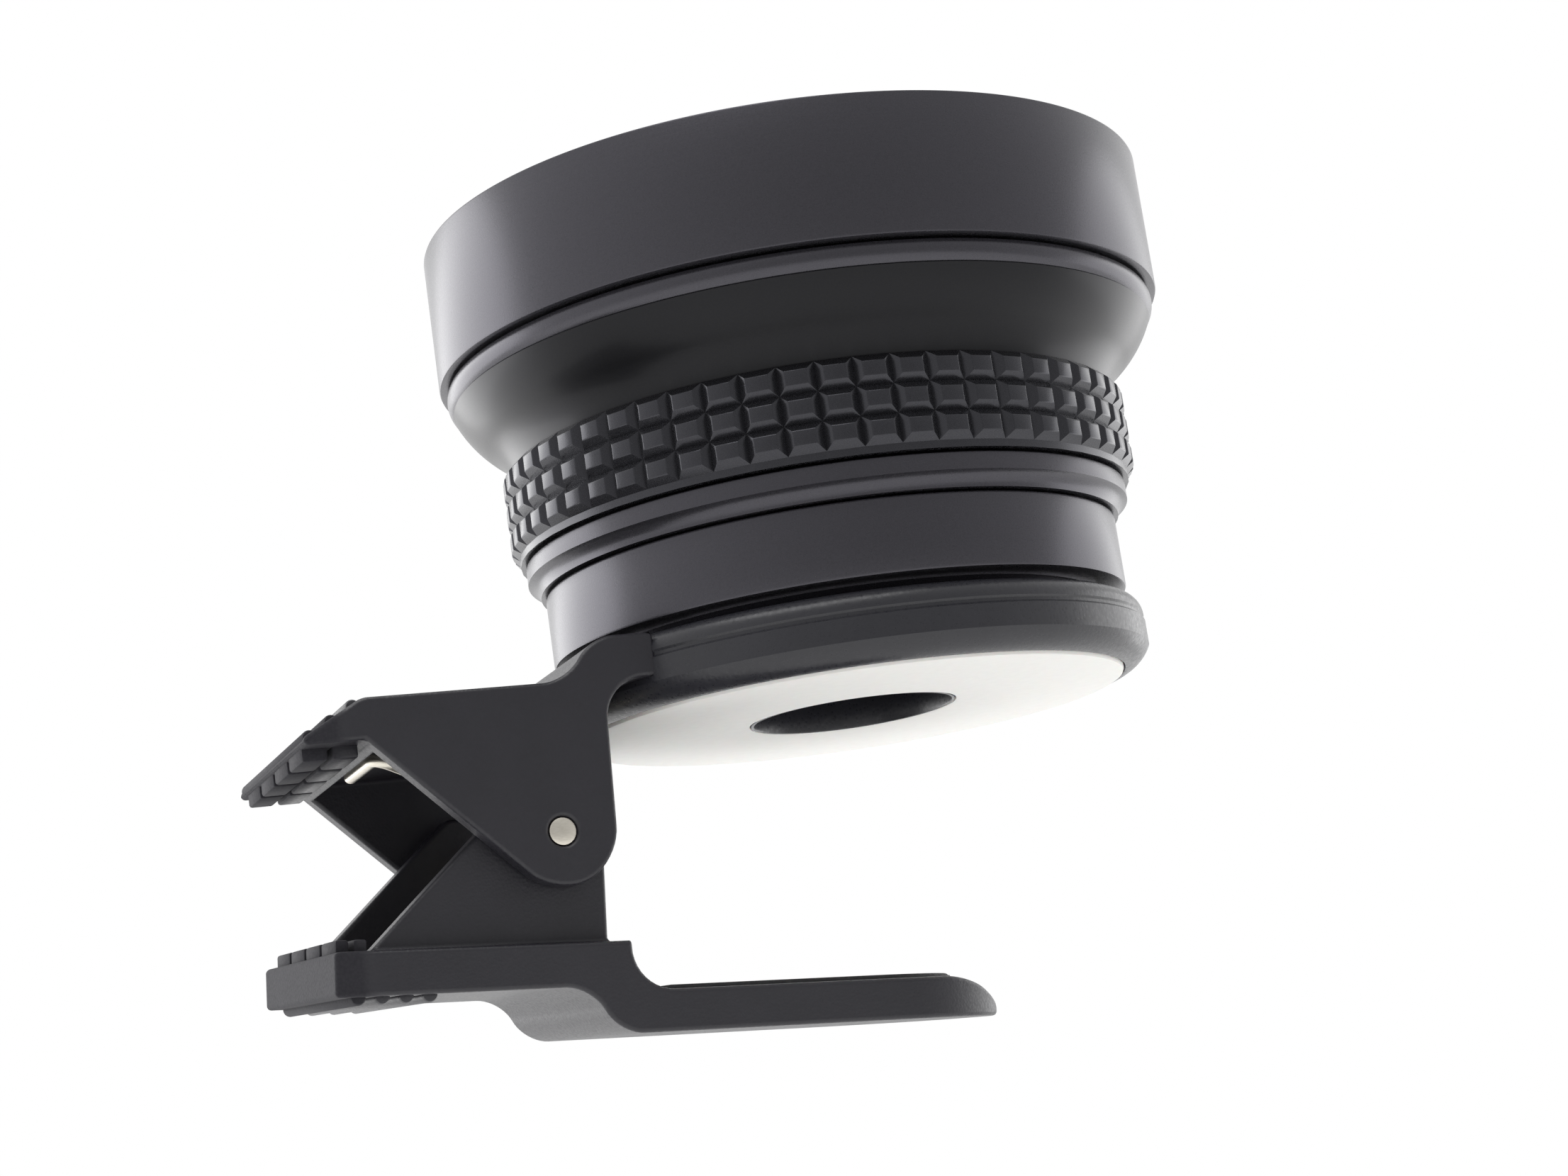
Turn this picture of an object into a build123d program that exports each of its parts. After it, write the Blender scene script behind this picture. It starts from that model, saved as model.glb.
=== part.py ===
# Clip-on accessory lens for a phone camera.
#
# A wide half and a macro half screw together and into the ring of a sprung plastic clip.
# Origin: centre of the camera hole at the underside of the ring's soft pad.
# +Z is the lens axis, towards the front glass. +X runs along the jaws from the finger
# grips to the tongue's tip, and the hinge pin lies along Y.
# The jaws stand open as a hand holds them. All sizes are millimetres and degrees.

from build123d import *
from math import acos, atan2, cos, degrees, hypot, pi, radians, sin, sqrt, tan
import os

os.makedirs("parts", exist_ok=True)

# Clearances
body_gap = 0.3          # between pieces that come apart or turn on each other
thread_play = 0.05      # radial play in a screwed or slipped fit inside one half
seam = 0.15             # closed joint line between the two halves
pin_play = 0.05         # radial play of the pin in the lower plates
pad_play = 0.1          # soft pad in its recess
cement = 0.02           # between the two cemented glasses

# Soft pad and clip ring
mount_thread_r = 18.5   # the screw thread between the clip and the lens
ring_wall = 2.5
ring_outer_r = mount_thread_r + body_gap + ring_wall
ring_floor = 1.3
ring_socket_depth = 2.4
ring_chamfer_z = 1.0
ring_chamfer_r = 1.6
floor_hole_extra = 0.3
pad_margin = 2.0        # ring left outside the pad
pad_r = ring_outer_r - pad_margin
pad_thick = 1.2
pad_proud = 0.25
camera_hole_r = 7.3

# Macro half
ring_gap = 0.9          # bare thread between the ring's lip and the barrel
barrel_step = 1.9       # barrel beyond its thread
macro_r = mount_thread_r + barrel_step
macro_length = 5.1
spigot_step = 2.6       # from the barrel in to the spigot that the wide half screws on
spigot_r = macro_r - spigot_step
spigot_length = 2.3
cell_wall = 1.4
macro_glass_step = 2.0  # from the spigot's bore in to the glass
macro_glass_r = spigot_r - cell_wall - macro_glass_step
macro_glass_lap = 1.4   # seat's reach under the glass
macro_bore_r = macro_glass_r - macro_glass_lap
macro_seat_z = 0.8      # above the barrel's lower face
macro_glass_edge = 2.0
macro_glass_rise = 1.0
retainer_length = 1.2

# Wide half, each radius a step beyond the last
shoulder_step = 1.1
shoulder_r = macro_r + shoulder_step
shoulder_length = 2.2
shoulder_cove = 1.0
grip_line = 0.2         # dark line between the shoulder and the grip ring
grip_step = 0.9
grip_r = shoulder_r + grip_step
grip_length = 6.5
grip_strip = 0.5        # plain strip below the pyramids
grip_rows = 3
grip_around = 55
grip_wall = 1.25
pyramid_depth = 0.55
pyramid_flat = 0.5      # share of the pitch that stays flat on top
skirt_r = grip_r - grip_wall - thread_play
skirt_wall = 1.5
neck_step = 0.8         # from the pyramids' tops in to the neck
neck_r = grip_r - neck_step
neck_length = 1.35
bowl_height = 3.6
bowl_flare = 3.6
bowl_r = neck_r + bowl_flare
bowl_bulge = 0.45       # how far the bowl's side stands out from a straight cone
bead_step = 0.3
bead_r = bowl_r + bead_step
bead_length = 1.5
hood_line = 0.25        # groove between the bead and the hood
hood_step = 0.5
hood_r = bead_r + hood_step
hood_length = 9.7
hood_wall = 1.75
hood_bore_r = hood_r - hood_wall
filter_wall = 1.5
filter_thread_r = hood_r - filter_wall
filter_thread_depth = 3.7
front_cell_wall = 1.65
front_glass_r = hood_bore_r - front_cell_wall - 2 * thread_play
front_seat_z = 2.0      # glass seat above the bowl's rim
front_glass_edge = 2.0
front_glass_rise = 3.5
front_glass_hollow = 3.4
front_glass_rim = 4.0   # flat rim round the hollow side
retainer_lap = 1.1      # how far the front retainer reaches over the glass
retainer_lead = 0.6     # slope inside the front retainer's mouth
spanner_slot = 1.5
spanner_depth = 0.6
spanner_lip = 1.4       # ring left uncut inside the spanner slots
shelf = 1.4
rear_glass_step = 2.8   # from the macro glass in to the rear ones
rear_glass_r = macro_glass_r - rear_glass_step
rear_glass_lap = 1.1
rear_opening_r = rear_glass_r - rear_glass_lap
rear_glass_edge = 1.1
rear_glass_rise = 1.0
rear_glass_rim = 1.0
web = 1.4
edge_break = 0.3        # small chamfer on turned edges
overcut = 1.0           # how far a cut runs past the face it opens

# Clip mouldings, set out from the ring's edge
clip_width = 22.0
plate = 1.6
arm_thick = 2.9
arm_back = 0.3          # from the ring back to the side plates
arm_back_x = -(ring_outer_r + arm_back)
arm_fillet = 2.6
arm_lap = 1.5           # how far the arm runs into the ring
arm_sink = 1.0          # ring wall that the arm's end stays in
web_top_z = 2.1
web_thick = 2.3
step_back = 4.5         # from the ring back to where the web starts to rise
arm_step_x = -(ring_outer_r + step_back)
arm_rise = 5.2          # length of that rise
knee_back = 16.3        # from the ring back to the finger grip
grip_knee_x = -(ring_outer_r + knee_back)
knee_wall = 0.77
grip_run = 3.9          # length of the finger grip
grip_tip_x = grip_knee_x - grip_run
grip_tip_z = -0.1
grip_under_z = -0.6
pin_back = 4.4          # from the ring back to the pin
pin_x = -(ring_outer_r + pin_back)
pin_z = -7.5
pin_r = 0.95
pin_recess = 0.1
lug_r = 3.5             # upper plates' rounding about the pin
lower_lug_r = 3.2
base_top = 6.4          # lower jaw's base, below the pin
base_thick = 2.8
base_back = 14.9        # base's grip end, behind the pin
base_front = 4.2        # base's tongue end, before the pin
base_pocket = 1.0
pocket_margin = 0.5     # base left between the pocket and the plates
lower_slope = 45.0      # rear edge of the lower plates
lower_slope_at = 5.9    # where that edge is level with the pin
tongue_reach = 6.9      # past the lens axis
tongue_tip = tongue_reach - pin_x
tongue_tip_r = 9.0      # plan radius of the tip's corners
tip_run = 3.0           # length over which the tip's upper side rounds down
tip_drop = 1.9          # how far it rounds down
tongue_thick = 2.7
tongue_step = 3.15      # from the base's top down to the tongue's
tongue_bottom = base_top + tongue_step + tongue_thick
cove_lip = 0.35         # straight wall left above the tongue's cove
tongue_cove = tongue_step - cove_lip
tongue_neck = base_front + tongue_cove
tongue_heel = 4.8       # where its level underside starts
heel_run = 5.1          # length of the step down to it
tongue_pad_thick = 1.1
tongue_pad_proud = 0.3
tongue_pad_border = 1.6
rest_opening = 4.1      # lower jaw's tilt as the hand holds it
rest_lean = 3.3         # its lean about X, from the play between the plates
rib_pitch = 1.5
rib_height = 0.5
rib_count = 6
block_rows = 2
block_columns = 4
block_height = 0.8
block_gap = 0.3
block_sink = 0.2        # how far a block runs into what carries it

# Torsion spring
wire_r = 0.45
coil_inner_r = 1.4
coil_turns = 3.0        # in each half
coil_pitch = 1.05
coil_split = 1.1        # between the middles of the wire where the two halves meet
upper_leg_back = 9.7    # from the pin back to the upper leg's end
upper_leg_x = pin_x - upper_leg_back
upper_hook = 7.5
hook_bend_r = 1.2
lower_leg_short = 3.9   # from the base's end forward to the lower leg's end
lower_leg_x = base_back - lower_leg_short
leg_gap = 0.03

# Heights worked out from the stack above
floor_top = pad_thick + ring_floor
ring_top = floor_top + ring_socket_depth
macro_z = ring_top + ring_gap
macro_top = macro_z + macro_length
wide_z = macro_top + seam
shoulder_top = wide_z + shoulder_length
grip_z = shoulder_top + grip_line
grip_top = grip_z + grip_length
neck_top = grip_top + neck_length
bowl_top = neck_top + bowl_height
bead_top = bowl_top + bead_length
hood_z = bead_top + hood_line
hood_top = hood_z + hood_length
spigot_top = hood_top - filter_thread_depth - retainer_length
front_seat = bowl_top + front_seat_z
half_width = clip_width / 2
inner_half = half_width - plate
lower_half = inner_half - body_gap


def ring_solid(points):
    """Solid of revolution about Z from a closed outline of (radius, height) points."""
    outline = Polyline(*[(r, 0, z) for r, z in points], close=True)
    return revolve(make_face(outline), Axis.Z)


def tube(r_in, r_out, z0, z1, bevel=0.0):
    """Plain turned ring, its outer edges bevelled."""
    return ring_solid([(r_in, z0), (r_out - bevel, z0), (r_out, z0 + bevel),
                       (r_out, z1 - bevel), (r_out - bevel, z1), (r_in, z1)] if bevel
                      else [(r_in, z0), (r_out, z0), (r_out, z1), (r_in, z1)])


def sphere_arc(r, z_rim, rise):
    """Arc in the XZ plane from the rim (r, z_rim) to the axis, rise above the rim."""
    radius = (r * r + rise * rise) / (2 * rise)
    centre = z_rim + rise - radius
    side = 1 if rise > 0 else -1
    mid = (r / 2, 0, centre + side * sqrt(radius ** 2 - r * r / 4))
    return ThreePointArc((r, 0, z_rim), mid, (0, 0, z_rim + rise))


def dome_at(r, rise, at_r):
    """Height of a dome above its rim (of radius r) at another radius."""
    radius = (r * r + rise * rise) / (2 * rise)
    return rise - radius + sqrt(radius ** 2 - at_r ** 2)


def glass(r, z0, edge, rise, hollow, rim=0.0):
    """Lens element: cylindrical edge, domed top, and an underside hollowed inside its rim."""
    dome = z0 + edge + rise
    edges = [Line((r, 0, z0), (r, 0, z0 + edge)), sphere_arc(r, z0 + edge, rise),
             Line((0, 0, dome), (0, 0, z0 + hollow)), sphere_arc(r - rim, z0, hollow)]
    if rim:
        edges.append(Line((r - rim, 0, z0), (r, 0, z0)))
    return revolve(make_face(edges), Axis.Z)


def along_y(face, half):
    """Extrude a face that lies in the XZ plane to both sides of it."""
    return extrude(face, amount=half, dir=(0, 1, 0), both=True)


def outline_face(points):
    """Face in the XZ plane with straight sides."""
    return make_face(Polyline(*[(x, 0, z) for x, z in points], close=True))


def box_between(x0, x1, y0, y1, z0, z1):
    """Block between two corners."""
    centre = ((x0 + x1) / 2, (y0 + y1) / 2, (z0 + z1) / 2)
    return Pos(*centre) * Box(x1 - x0, y1 - y0, z1 - z0)


def save(name, solid):
    """Write one piece under its own name."""
    export_step(solid, f"parts/{name}.step")


def spanner_cut(top_z):
    """Bar across a retaining ring, which leaves its two spanner slots."""
    half = spanner_slot / 2
    return box_between(-hood_r, hood_r, -half, half, top_z - spanner_depth, top_z + overcut)


# Wide half

def hood_ring():
    """Broad front ring, with the filter thread's bore in its mouth."""
    thread_z = hood_top - filter_thread_depth
    return ring_solid([
        (hood_bore_r, hood_z), (hood_r - edge_break, hood_z), (hood_r, hood_z + edge_break),
        (hood_r, hood_top - edge_break), (hood_r - edge_break, hood_top),
        (filter_thread_r + edge_break, hood_top), (filter_thread_r, hood_top - edge_break),
        (filter_thread_r, thread_z), (hood_bore_r, thread_z)])


def bead_ring():
    """Narrow ring with a rounded outer face."""
    round_r = bead_length / 2
    flat = bead_r - round_r * 0.5
    edges = [Line((hood_bore_r, 0, bowl_top), (flat, 0, bowl_top)),
             ThreePointArc((flat, 0, bowl_top), (bead_r, 0, bowl_top + round_r), (flat, 0, bead_top)),
             Line((flat, 0, bead_top), (hood_bore_r, 0, bead_top)),
             Line((hood_bore_r, 0, bead_top), (hood_bore_r, 0, bowl_top))]
    return revolve(make_face(edges), Axis.Z)


def bell_housing():
    """Bowl with the front glass's seat above, and the skirt for the grip ring below."""
    spigot_r = hood_bore_r - thread_play
    seat_r = front_glass_r + thread_play
    ledge_r = front_glass_r - front_glass_rim / 2
    skirt_in = skirt_r - skirt_wall
    throat_r = rear_glass_r + cell_wall
    shelf_z = neck_top - shelf
    mid_r = (neck_r + bowl_r) / 2 + bowl_bulge * cos(pi / 4)
    mid_z = neck_top + bowl_height / 2 - bowl_bulge * sin(pi / 4)
    corners = [(bowl_r, bowl_top), (spigot_r, bowl_top), (spigot_r, spigot_top), (seat_r, spigot_top),
               (seat_r, front_seat), (ledge_r, front_seat), (ledge_r, bowl_top),
               (throat_r, neck_top), (throat_r, shelf_z), (skirt_in, shelf_z), (skirt_in, grip_z),
               (skirt_r, grip_z), (skirt_r, grip_top), (neck_r, grip_top), (neck_r, neck_top)]
    outline = Polyline(*[(r, 0, z) for r, z in corners])
    bowl = ThreePointArc((neck_r, 0, neck_top), (mid_r, 0, mid_z), (bowl_r, 0, bowl_top))
    return revolve(make_face([outline, bowl]), Axis.Z)


def grip_ring():
    """Sleeve with rows of cut pyramids, left where two sets of V grooves cross."""
    root_r = grip_r - pyramid_depth
    bore_r = skirt_r + thread_play
    strip_z = grip_z + grip_strip
    row = (grip_top - strip_z) / grip_rows
    reach = row * (1 - pyramid_flat) / 2
    sleeve = tube(bore_r, grip_r, grip_z, grip_top)
    ring_cuts = [ring_solid([(grip_r, strip_z + i * row - reach), (root_r, strip_z + i * row),
                             (grip_r, strip_z + i * row + reach), (hood_r, strip_z + i * row + reach),
                             (hood_r, strip_z + i * row - reach)]) for i in range(1, grip_rows)]
    ring_cuts.append(ring_solid([(root_r, grip_z - overcut), (root_r, strip_z), (grip_r, strip_z + reach),
                                 (hood_r, strip_z + reach), (hood_r, grip_z - overcut)]))
    over_z = grip_top + overcut
    ring_cuts.append(ring_solid([(root_r, grip_top), (root_r, over_z), (hood_r, over_z),
                                 (hood_r, grip_top - reach), (grip_r, grip_top - reach)]))
    half = pi * grip_r / grip_around * (1 - pyramid_flat)
    spread = half / pyramid_depth * (hood_r - root_r)
    notch = Polyline((root_r, 0), (hood_r, -spread), (hood_r, spread), close=True)
    groove = Pos(0, 0, strip_z) * extrude(make_face(notch), amount=grip_top - strip_z + overcut)
    groove_cuts = [Rot(0, 0, 360 * i / grip_around) * groove for i in range(grip_around)]
    return sleeve - ring_cuts - groove_cuts


def front_retainer():
    """Flanged ring that holds the front glass by its rim, with two spanner slots."""
    reach_r = front_glass_r - retainer_lap
    rim_z = front_seat + front_glass_edge
    touch_z = rim_z + dome_at(front_glass_r, front_glass_rise, reach_r) + thread_play
    flange_r = hood_bore_r - thread_play
    ring = ring_solid([(reach_r, touch_z), (front_glass_r, touch_z), (front_glass_r, spigot_top),
                       (flange_r, spigot_top), (flange_r, spigot_top + retainer_length),
                       (reach_r + retainer_lead, spigot_top + retainer_length),
                       (reach_r, spigot_top + retainer_length - retainer_lead)])
    slot_z = spigot_top + retainer_length
    return ring - (spanner_cut(slot_z) - Cylinder(reach_r + spanner_lip, 3 * hood_top))


def inner_barrel():
    """Shoulder with its cove, tube, rear cell and the socket for the macro half."""
    socket_r = spigot_r + body_gap
    web_z = wide_z + spigot_length + body_gap
    tube_r = skirt_r - skirt_wall - thread_play
    cell_r = rear_glass_r + thread_play
    cell_out = rear_glass_r + cell_wall - thread_play
    cell_top = neck_top - shelf
    cove_z = wide_z + shoulder_cove
    cove_r = macro_r + edge_break
    mid_r = shoulder_r - shoulder_cove * sin(pi / 4)
    mid_z = wide_z + shoulder_cove * cos(pi / 4)
    corners = [(shoulder_r, cove_z), (shoulder_r, shoulder_top), (tube_r, shoulder_top),
               (tube_r, cell_top), (tube_r - cell_wall, cell_top), (tube_r - cell_wall, web_z + web),
               (cell_out, web_z + web), (cell_out, cell_top), (cell_r, cell_top),
               (cell_r, web_z + web), (rear_opening_r, web_z + web), (rear_opening_r, web_z),
               (socket_r, web_z), (socket_r, wide_z), (cove_r, wide_z)]
    outline = Polyline(*[(r, 0, z) for r, z in corners])
    cove = ThreePointArc((cove_r, 0, wide_z), (max(mid_r, cove_r), 0, mid_z), (shoulder_r, 0, cove_z))
    return revolve(make_face([outline, cove]), Axis.Z)


# Macro half

def macro_barrel():
    """Rear cylinder: spigot above, mounting thread below, seat for the macro glass inside."""
    thread_z = floor_top + body_gap
    seat_z = macro_z + macro_seat_z
    bore_r = macro_glass_r + thread_play
    return ring_solid([
        (macro_bore_r, thread_z), (mount_thread_r - edge_break, thread_z),
        (mount_thread_r, thread_z + edge_break), (mount_thread_r, macro_z),
        (macro_r - edge_break, macro_z), (macro_r, macro_z + edge_break),
        (macro_r, macro_top - edge_break), (macro_r - edge_break, macro_top),
        (spigot_r, macro_top), (spigot_r, macro_top + spigot_length),
        (spigot_r - cell_wall, macro_top + spigot_length), (spigot_r - cell_wall, macro_top),
        (bore_r, macro_top), (bore_r, seat_z), (macro_bore_r, seat_z)])


def macro_retainer():
    """Plain ring screwed in above the macro glass, with two spanner slots."""
    rim_z = macro_z + macro_seat_z + macro_glass_edge
    z0 = rim_z + dome_at(macro_glass_r, macro_glass_rise, macro_bore_r) + thread_play
    slot_z = macro_top - edge_break
    ring = tube(macro_bore_r, macro_glass_r, z0, slot_z)
    return ring - spanner_cut(slot_z)


# Clip

def s_curve(start, end):
    """Two equal arcs from one level line to another."""
    middle = tuple((p + q) / 2 for p, q in zip(start, end))
    return [TangentArc(start, middle, tangent=(1, 0, 0)),
            TangentArc(end, middle, tangent=(-1, 0, 0))]


def tangent_point(point, centre, radius, turn):
    """Where the line from a point touches a circle, on the side that turn (1 or -1) picks."""
    dx, dz = point[0] - centre[0], point[1] - centre[1]
    angle = atan2(dz, dx) + turn * acos(radius / hypot(dx, dz))
    return centre[0] + radius * cos(angle), centre[1] + radius * sin(angle), angle


def pin_bore(radius):
    """Cylinder along the hinge axis, through every plate."""
    return Pos(pin_x, 0, pin_z) * Rot(90, 0, 0) * Cylinder(radius, 3 * clip_width)


def ribs(start, end, count, length):
    """Round finger ribs along Y, evenly spaced from one (x, z) point to another."""
    made = []
    for i in range(count):
        share = i / (count - 1)
        x = start[0] + (end[0] - start[0]) * share
        z = start[1] + (end[1] - start[1]) * share
        made.append(Pos(x, 0, z) * Rot(90, 0, 0) * Cylinder(rib_height, length))
    return made


def grip_blocks(x0, x1, z0, z1):
    """Two rows of moulded blocks on the inner face of a finger grip."""
    width = clip_width - 2 * plate
    pitch_x = (x1 - x0) / block_rows
    pitch_y = width / block_columns
    made = []
    for i in range(block_rows):
        for j in range(block_columns):
            xa = x0 + i * pitch_x
            ya = -width / 2 + j * pitch_y
            made.append(box_between(xa + block_gap / 2, xa + pitch_x - block_gap / 2,
                                    ya + block_gap, ya + pitch_y - block_gap, z0, z1))
    return made


def upper_plate_face():
    """Side outline of the web, the plates and the arm."""
    arm_z = ring_top - arm_thick
    knee = (grip_knee_x, grip_under_z)
    tx, tz, angle = tangent_point(knee, (pin_x, pin_z), lug_r, 1)
    mid = (angle + 2 * pi) / 2
    arm_end = (-sqrt(ring_outer_r ** 2 - half_width ** 2) + arm_lap, ring_top)
    front = (arm_step_x + arm_rise, 0, ring_top)
    back = (arm_step_x, 0, web_top_z)
    turn = arm_fillet * (1 - cos(pi / 4))
    edges = [Line((grip_knee_x, 0, web_top_z), (grip_knee_x, 0, grip_under_z)),
             Line((grip_knee_x, 0, grip_under_z), (tx, 0, tz)),
             ThreePointArc((tx, 0, tz),
                           (pin_x + lug_r * cos(mid), 0, pin_z + lug_r * sin(mid)),
                           (pin_x + lug_r, 0, pin_z)),
             Line((pin_x + lug_r, 0, pin_z), (arm_back_x, 0, arm_z - arm_fillet)),
             ThreePointArc((arm_back_x, 0, arm_z - arm_fillet), (arm_back_x + turn, 0, arm_z - turn),
                           (arm_back_x + arm_fillet, 0, arm_z)),
             Line((arm_back_x + arm_fillet, 0, arm_z), (arm_end[0], 0, arm_z)),
             Line((arm_end[0], 0, arm_z), (arm_end[0], 0, ring_top)),
             Line((arm_end[0], 0, ring_top), front)]
    edges += s_curve(back, front)
    edges.append(Line(back, (grip_knee_x, 0, web_top_z)))
    return make_face(edges)


def clip_ring():
    """Ring with its floor, the socket for the mounting thread and the recess for the pad."""
    socket_r = mount_thread_r + body_gap
    hole_r = camera_hole_r + floor_hole_extra
    return ring_solid([
        (hole_r, pad_thick), (pad_r + pad_play, pad_thick), (pad_r + pad_play, pad_proud),
        (ring_outer_r - ring_chamfer_r, pad_proud), (ring_outer_r, pad_proud + ring_chamfer_z),
        (ring_outer_r, ring_top - edge_break), (ring_outer_r - edge_break, ring_top),
        (socket_r, ring_top), (socket_r, floor_top), (hole_r, floor_top)])


def upper_jaw():
    """Ring, arm, channel of two plates and a web, and the finger grip, as one moulding."""
    web_z = web_top_z - web_thick
    body = along_y(upper_plate_face(), half_width)
    body -= box_between(grip_knee_x + knee_wall, 0, -inner_half, inner_half, pin_z - 2 * lug_r, web_z)
    wedge = [(grip_knee_x, web_top_z), (grip_tip_x, grip_tip_z), (grip_tip_x, grip_under_z),
             (grip_knee_x + knee_wall, grip_under_z), (grip_knee_x + knee_wall, web_z)]
    body += along_y(outline_face(wedge), half_width)
    body += grip_blocks(grip_tip_x, grip_knee_x, grip_under_z - block_height, grip_under_z + block_sink)
    slope = ((grip_tip_x + rib_height, grip_tip_z), (grip_knee_x - rib_height, web_top_z - rib_height))
    body += ribs(*slope, rib_count // 2, clip_width - 2 * rib_height)
    body -= Cylinder(ring_outer_r - arm_sink, 3 * hood_top)
    body += clip_ring()
    return body - pin_bore(pin_r)


def lower_frame(solid):
    """Place a solid drawn about the hinge pin, tilted as the hand holds the lower jaw."""
    return Pos(pin_x, 0, pin_z) * Rot(rest_lean, 0, 0) * Rot(0, rest_opening, 0) * solid


def tongue_face(tip, border=0.0):
    """Plan outline of the tongue up to its tip, or of its pad when drawn in by a border."""
    start = -base_back
    side = half_width - border
    radius = tongue_tip_r - border
    plan = Polyline((start, -side), (tip, -side), (tip, side), (start, side), close=True)
    face = make_face(plan)
    corners = face.vertices().group_by(Axis.X)[-1]
    return fillet(corners, radius)


def lower_plate_face():
    """Side outline of the plates that the pin passes through."""
    r = lower_lug_r
    lean = 1 / tan(radians(lower_slope))
    turn = r * cos(pi / 4)
    edges = [Line((r, 0, -base_top), (r, 0, 0)), ThreePointArc((r, 0, 0), (turn, 0, turn), (0, 0, r)),
             Line((0, 0, r), (r * lean - lower_slope_at, 0, r)),
             Line((r * lean - lower_slope_at, 0, r), (-base_top * lean - lower_slope_at, 0, -base_top)),
             Line((-base_top * lean - lower_slope_at, 0, -base_top), (r, 0, -base_top))]
    return make_face(edges)


def lower_jaw():
    """Base, plates, tongue and finger grip, as one moulding drawn about the pin."""
    base_z = -base_top - base_thick
    top_z = tongue_thick - tongue_bottom
    turn = tongue_cove * (1 - cos(pi / 4))
    heel = [(tongue_heel - heel_run, 0, base_z), (tongue_heel, 0, -tongue_bottom)]
    tip_start = (tongue_tip - tip_run, 0, top_z)
    tip_end = (tongue_tip, 0, top_z - tip_drop)
    edges = [Line((-base_back, 0, base_z), (-base_back, 0, -base_top)),
             Line((-base_back, 0, -base_top), (base_front, 0, -base_top)),
             Line((base_front, 0, -base_top), (base_front, 0, top_z + tongue_cove)),
             ThreePointArc((base_front, 0, top_z + tongue_cove), (base_front + turn, 0, top_z + turn),
                           (tongue_neck, 0, top_z)),
             Line((tongue_neck, 0, top_z), tip_start),
             TangentArc(tip_start, tip_end, tangent=(1, 0, 0)),
             Line(tip_end, (tongue_tip, 0, -tongue_bottom)),
             Line((tongue_tip, 0, -tongue_bottom), heel[1])]
    edges += s_curve(*heel)
    edges.append(Line(heel[0], (-base_back, 0, base_z)))
    body = along_y(make_face(edges), half_width)
    body &= Pos(0, 0, -2 * tongue_bottom) * extrude(tongue_face(tongue_tip), amount=2 * tongue_bottom)
    plates = along_y(lower_plate_face(), lower_half) - along_y(lower_plate_face(), lower_half - plate)
    body += plates
    pocket_y = lower_half - plate - pocket_margin
    body -= box_between(-base_back + plate * 2, lower_lug_r - plate / 2, -pocket_y, pocket_y,
                        -base_top - base_pocket, 0)
    body += grip_blocks(-base_back + block_gap, -base_back + block_gap + grip_knee_x - grip_tip_x - plate,
                        -base_top - block_sink, -base_top + block_height)
    under = ((-base_back + rib_pitch, base_z), (-base_back + rib_pitch * (rib_count + 1), base_z))
    body += ribs(*under, rib_count + 1, clip_width - 2 * rib_height)
    body -= pad_recess(pad_play)
    body = lower_frame(body)
    return body - pin_bore(pin_r + pin_play)


def pad_recess(play=0.0):
    """The tongue's pad, or with some play the recess it lies in."""
    top_z = tongue_thick - tongue_bottom
    floor_z = top_z + tongue_pad_proud - tongue_pad_thick
    plan = tongue_face(tongue_tip - tip_run - pad_play + play, tongue_pad_border - play)
    start = tongue_neck - play
    block = Pos(0, 0, floor_z) * extrude(plan, amount=tongue_pad_thick)
    return block & box_between(start, tongue_tip, -clip_width, clip_width, -2 * tongue_bottom, 0)


def hinge_pin():
    """Plain pin, its ends just inside the upper plates."""
    length = clip_width - 2 * pin_recess
    return Pos(pin_x, 0, pin_z) * Rot(90, 0, 0) * Cylinder(pin_r, length)


def coil_path(angle, turns, y0):
    """Helix about the pin from an angle in the XZ plane, turning clockwise as Y grows."""
    path = Helix(coil_pitch, coil_pitch * turns, coil_inner_r + wire_r)
    return Pos(pin_x, y0, pin_z) * Rot(-90, 0, 0) * Rot(0, 0, -angle) * path


def wire_along(edges):
    """Spring wire swept along joined edges."""
    path = Wire(edges)
    section = Plane(origin=path @ 0, z_dir=path % 0) * Circle(wire_r)
    return sweep(section, path=path)


def leg_start(point, turn):
    """Where a leg to a point (x, z) about the pin leaves the coil, and its angle."""
    x, z, angle = tangent_point(point, (0, 0), coil_inner_r + wire_r, turn)
    return x, z, degrees(angle)


def upper_leg():
    """End of the upper leg under the web, and where it leaves the coil, about the pin."""
    end_z = web_top_z - web_thick - wire_r - leg_gap
    return (upper_leg_x - pin_x, end_z - pin_z), leg_start((upper_leg_x - pin_x, end_z - pin_z), -1)


def spring_upper():
    """Half of the torsion spring whose leg bears on the web, with its end bent along Y."""
    end, (x, z, angle) = upper_leg()
    y0 = -coil_split / 2 - coil_pitch * coil_turns
    leg = FilletPolyline((pin_x + end[0], y0 + upper_hook, pin_z + end[1]),
                         (pin_x + end[0], y0, pin_z + end[1]), (pin_x + x, y0, pin_z + z), radius=hook_bend_r)
    return wire_along(leg.edges() + coil_path(angle, coil_turns, y0).edges())


def spring_lower():
    """Half of the torsion spring whose leg bears on the lower jaw's base."""
    end = (-lower_leg_x, -base_top - base_pocket + wire_r + leg_gap)
    angle = leg_start(end, 1)[2] - rest_opening
    start_angle = upper_leg()[1][2]
    turns = coil_turns + ((start_angle - angle) / 360) % 1
    coil = coil_path(start_angle, turns, coil_split / 2)
    away = lower_frame(Vertex(end[0], coil_split / 2 + coil_pitch * turns, end[1]))
    leg = Line(coil @ 1, away.center())
    return wire_along(coil.edges() + leg.edges())


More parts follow.
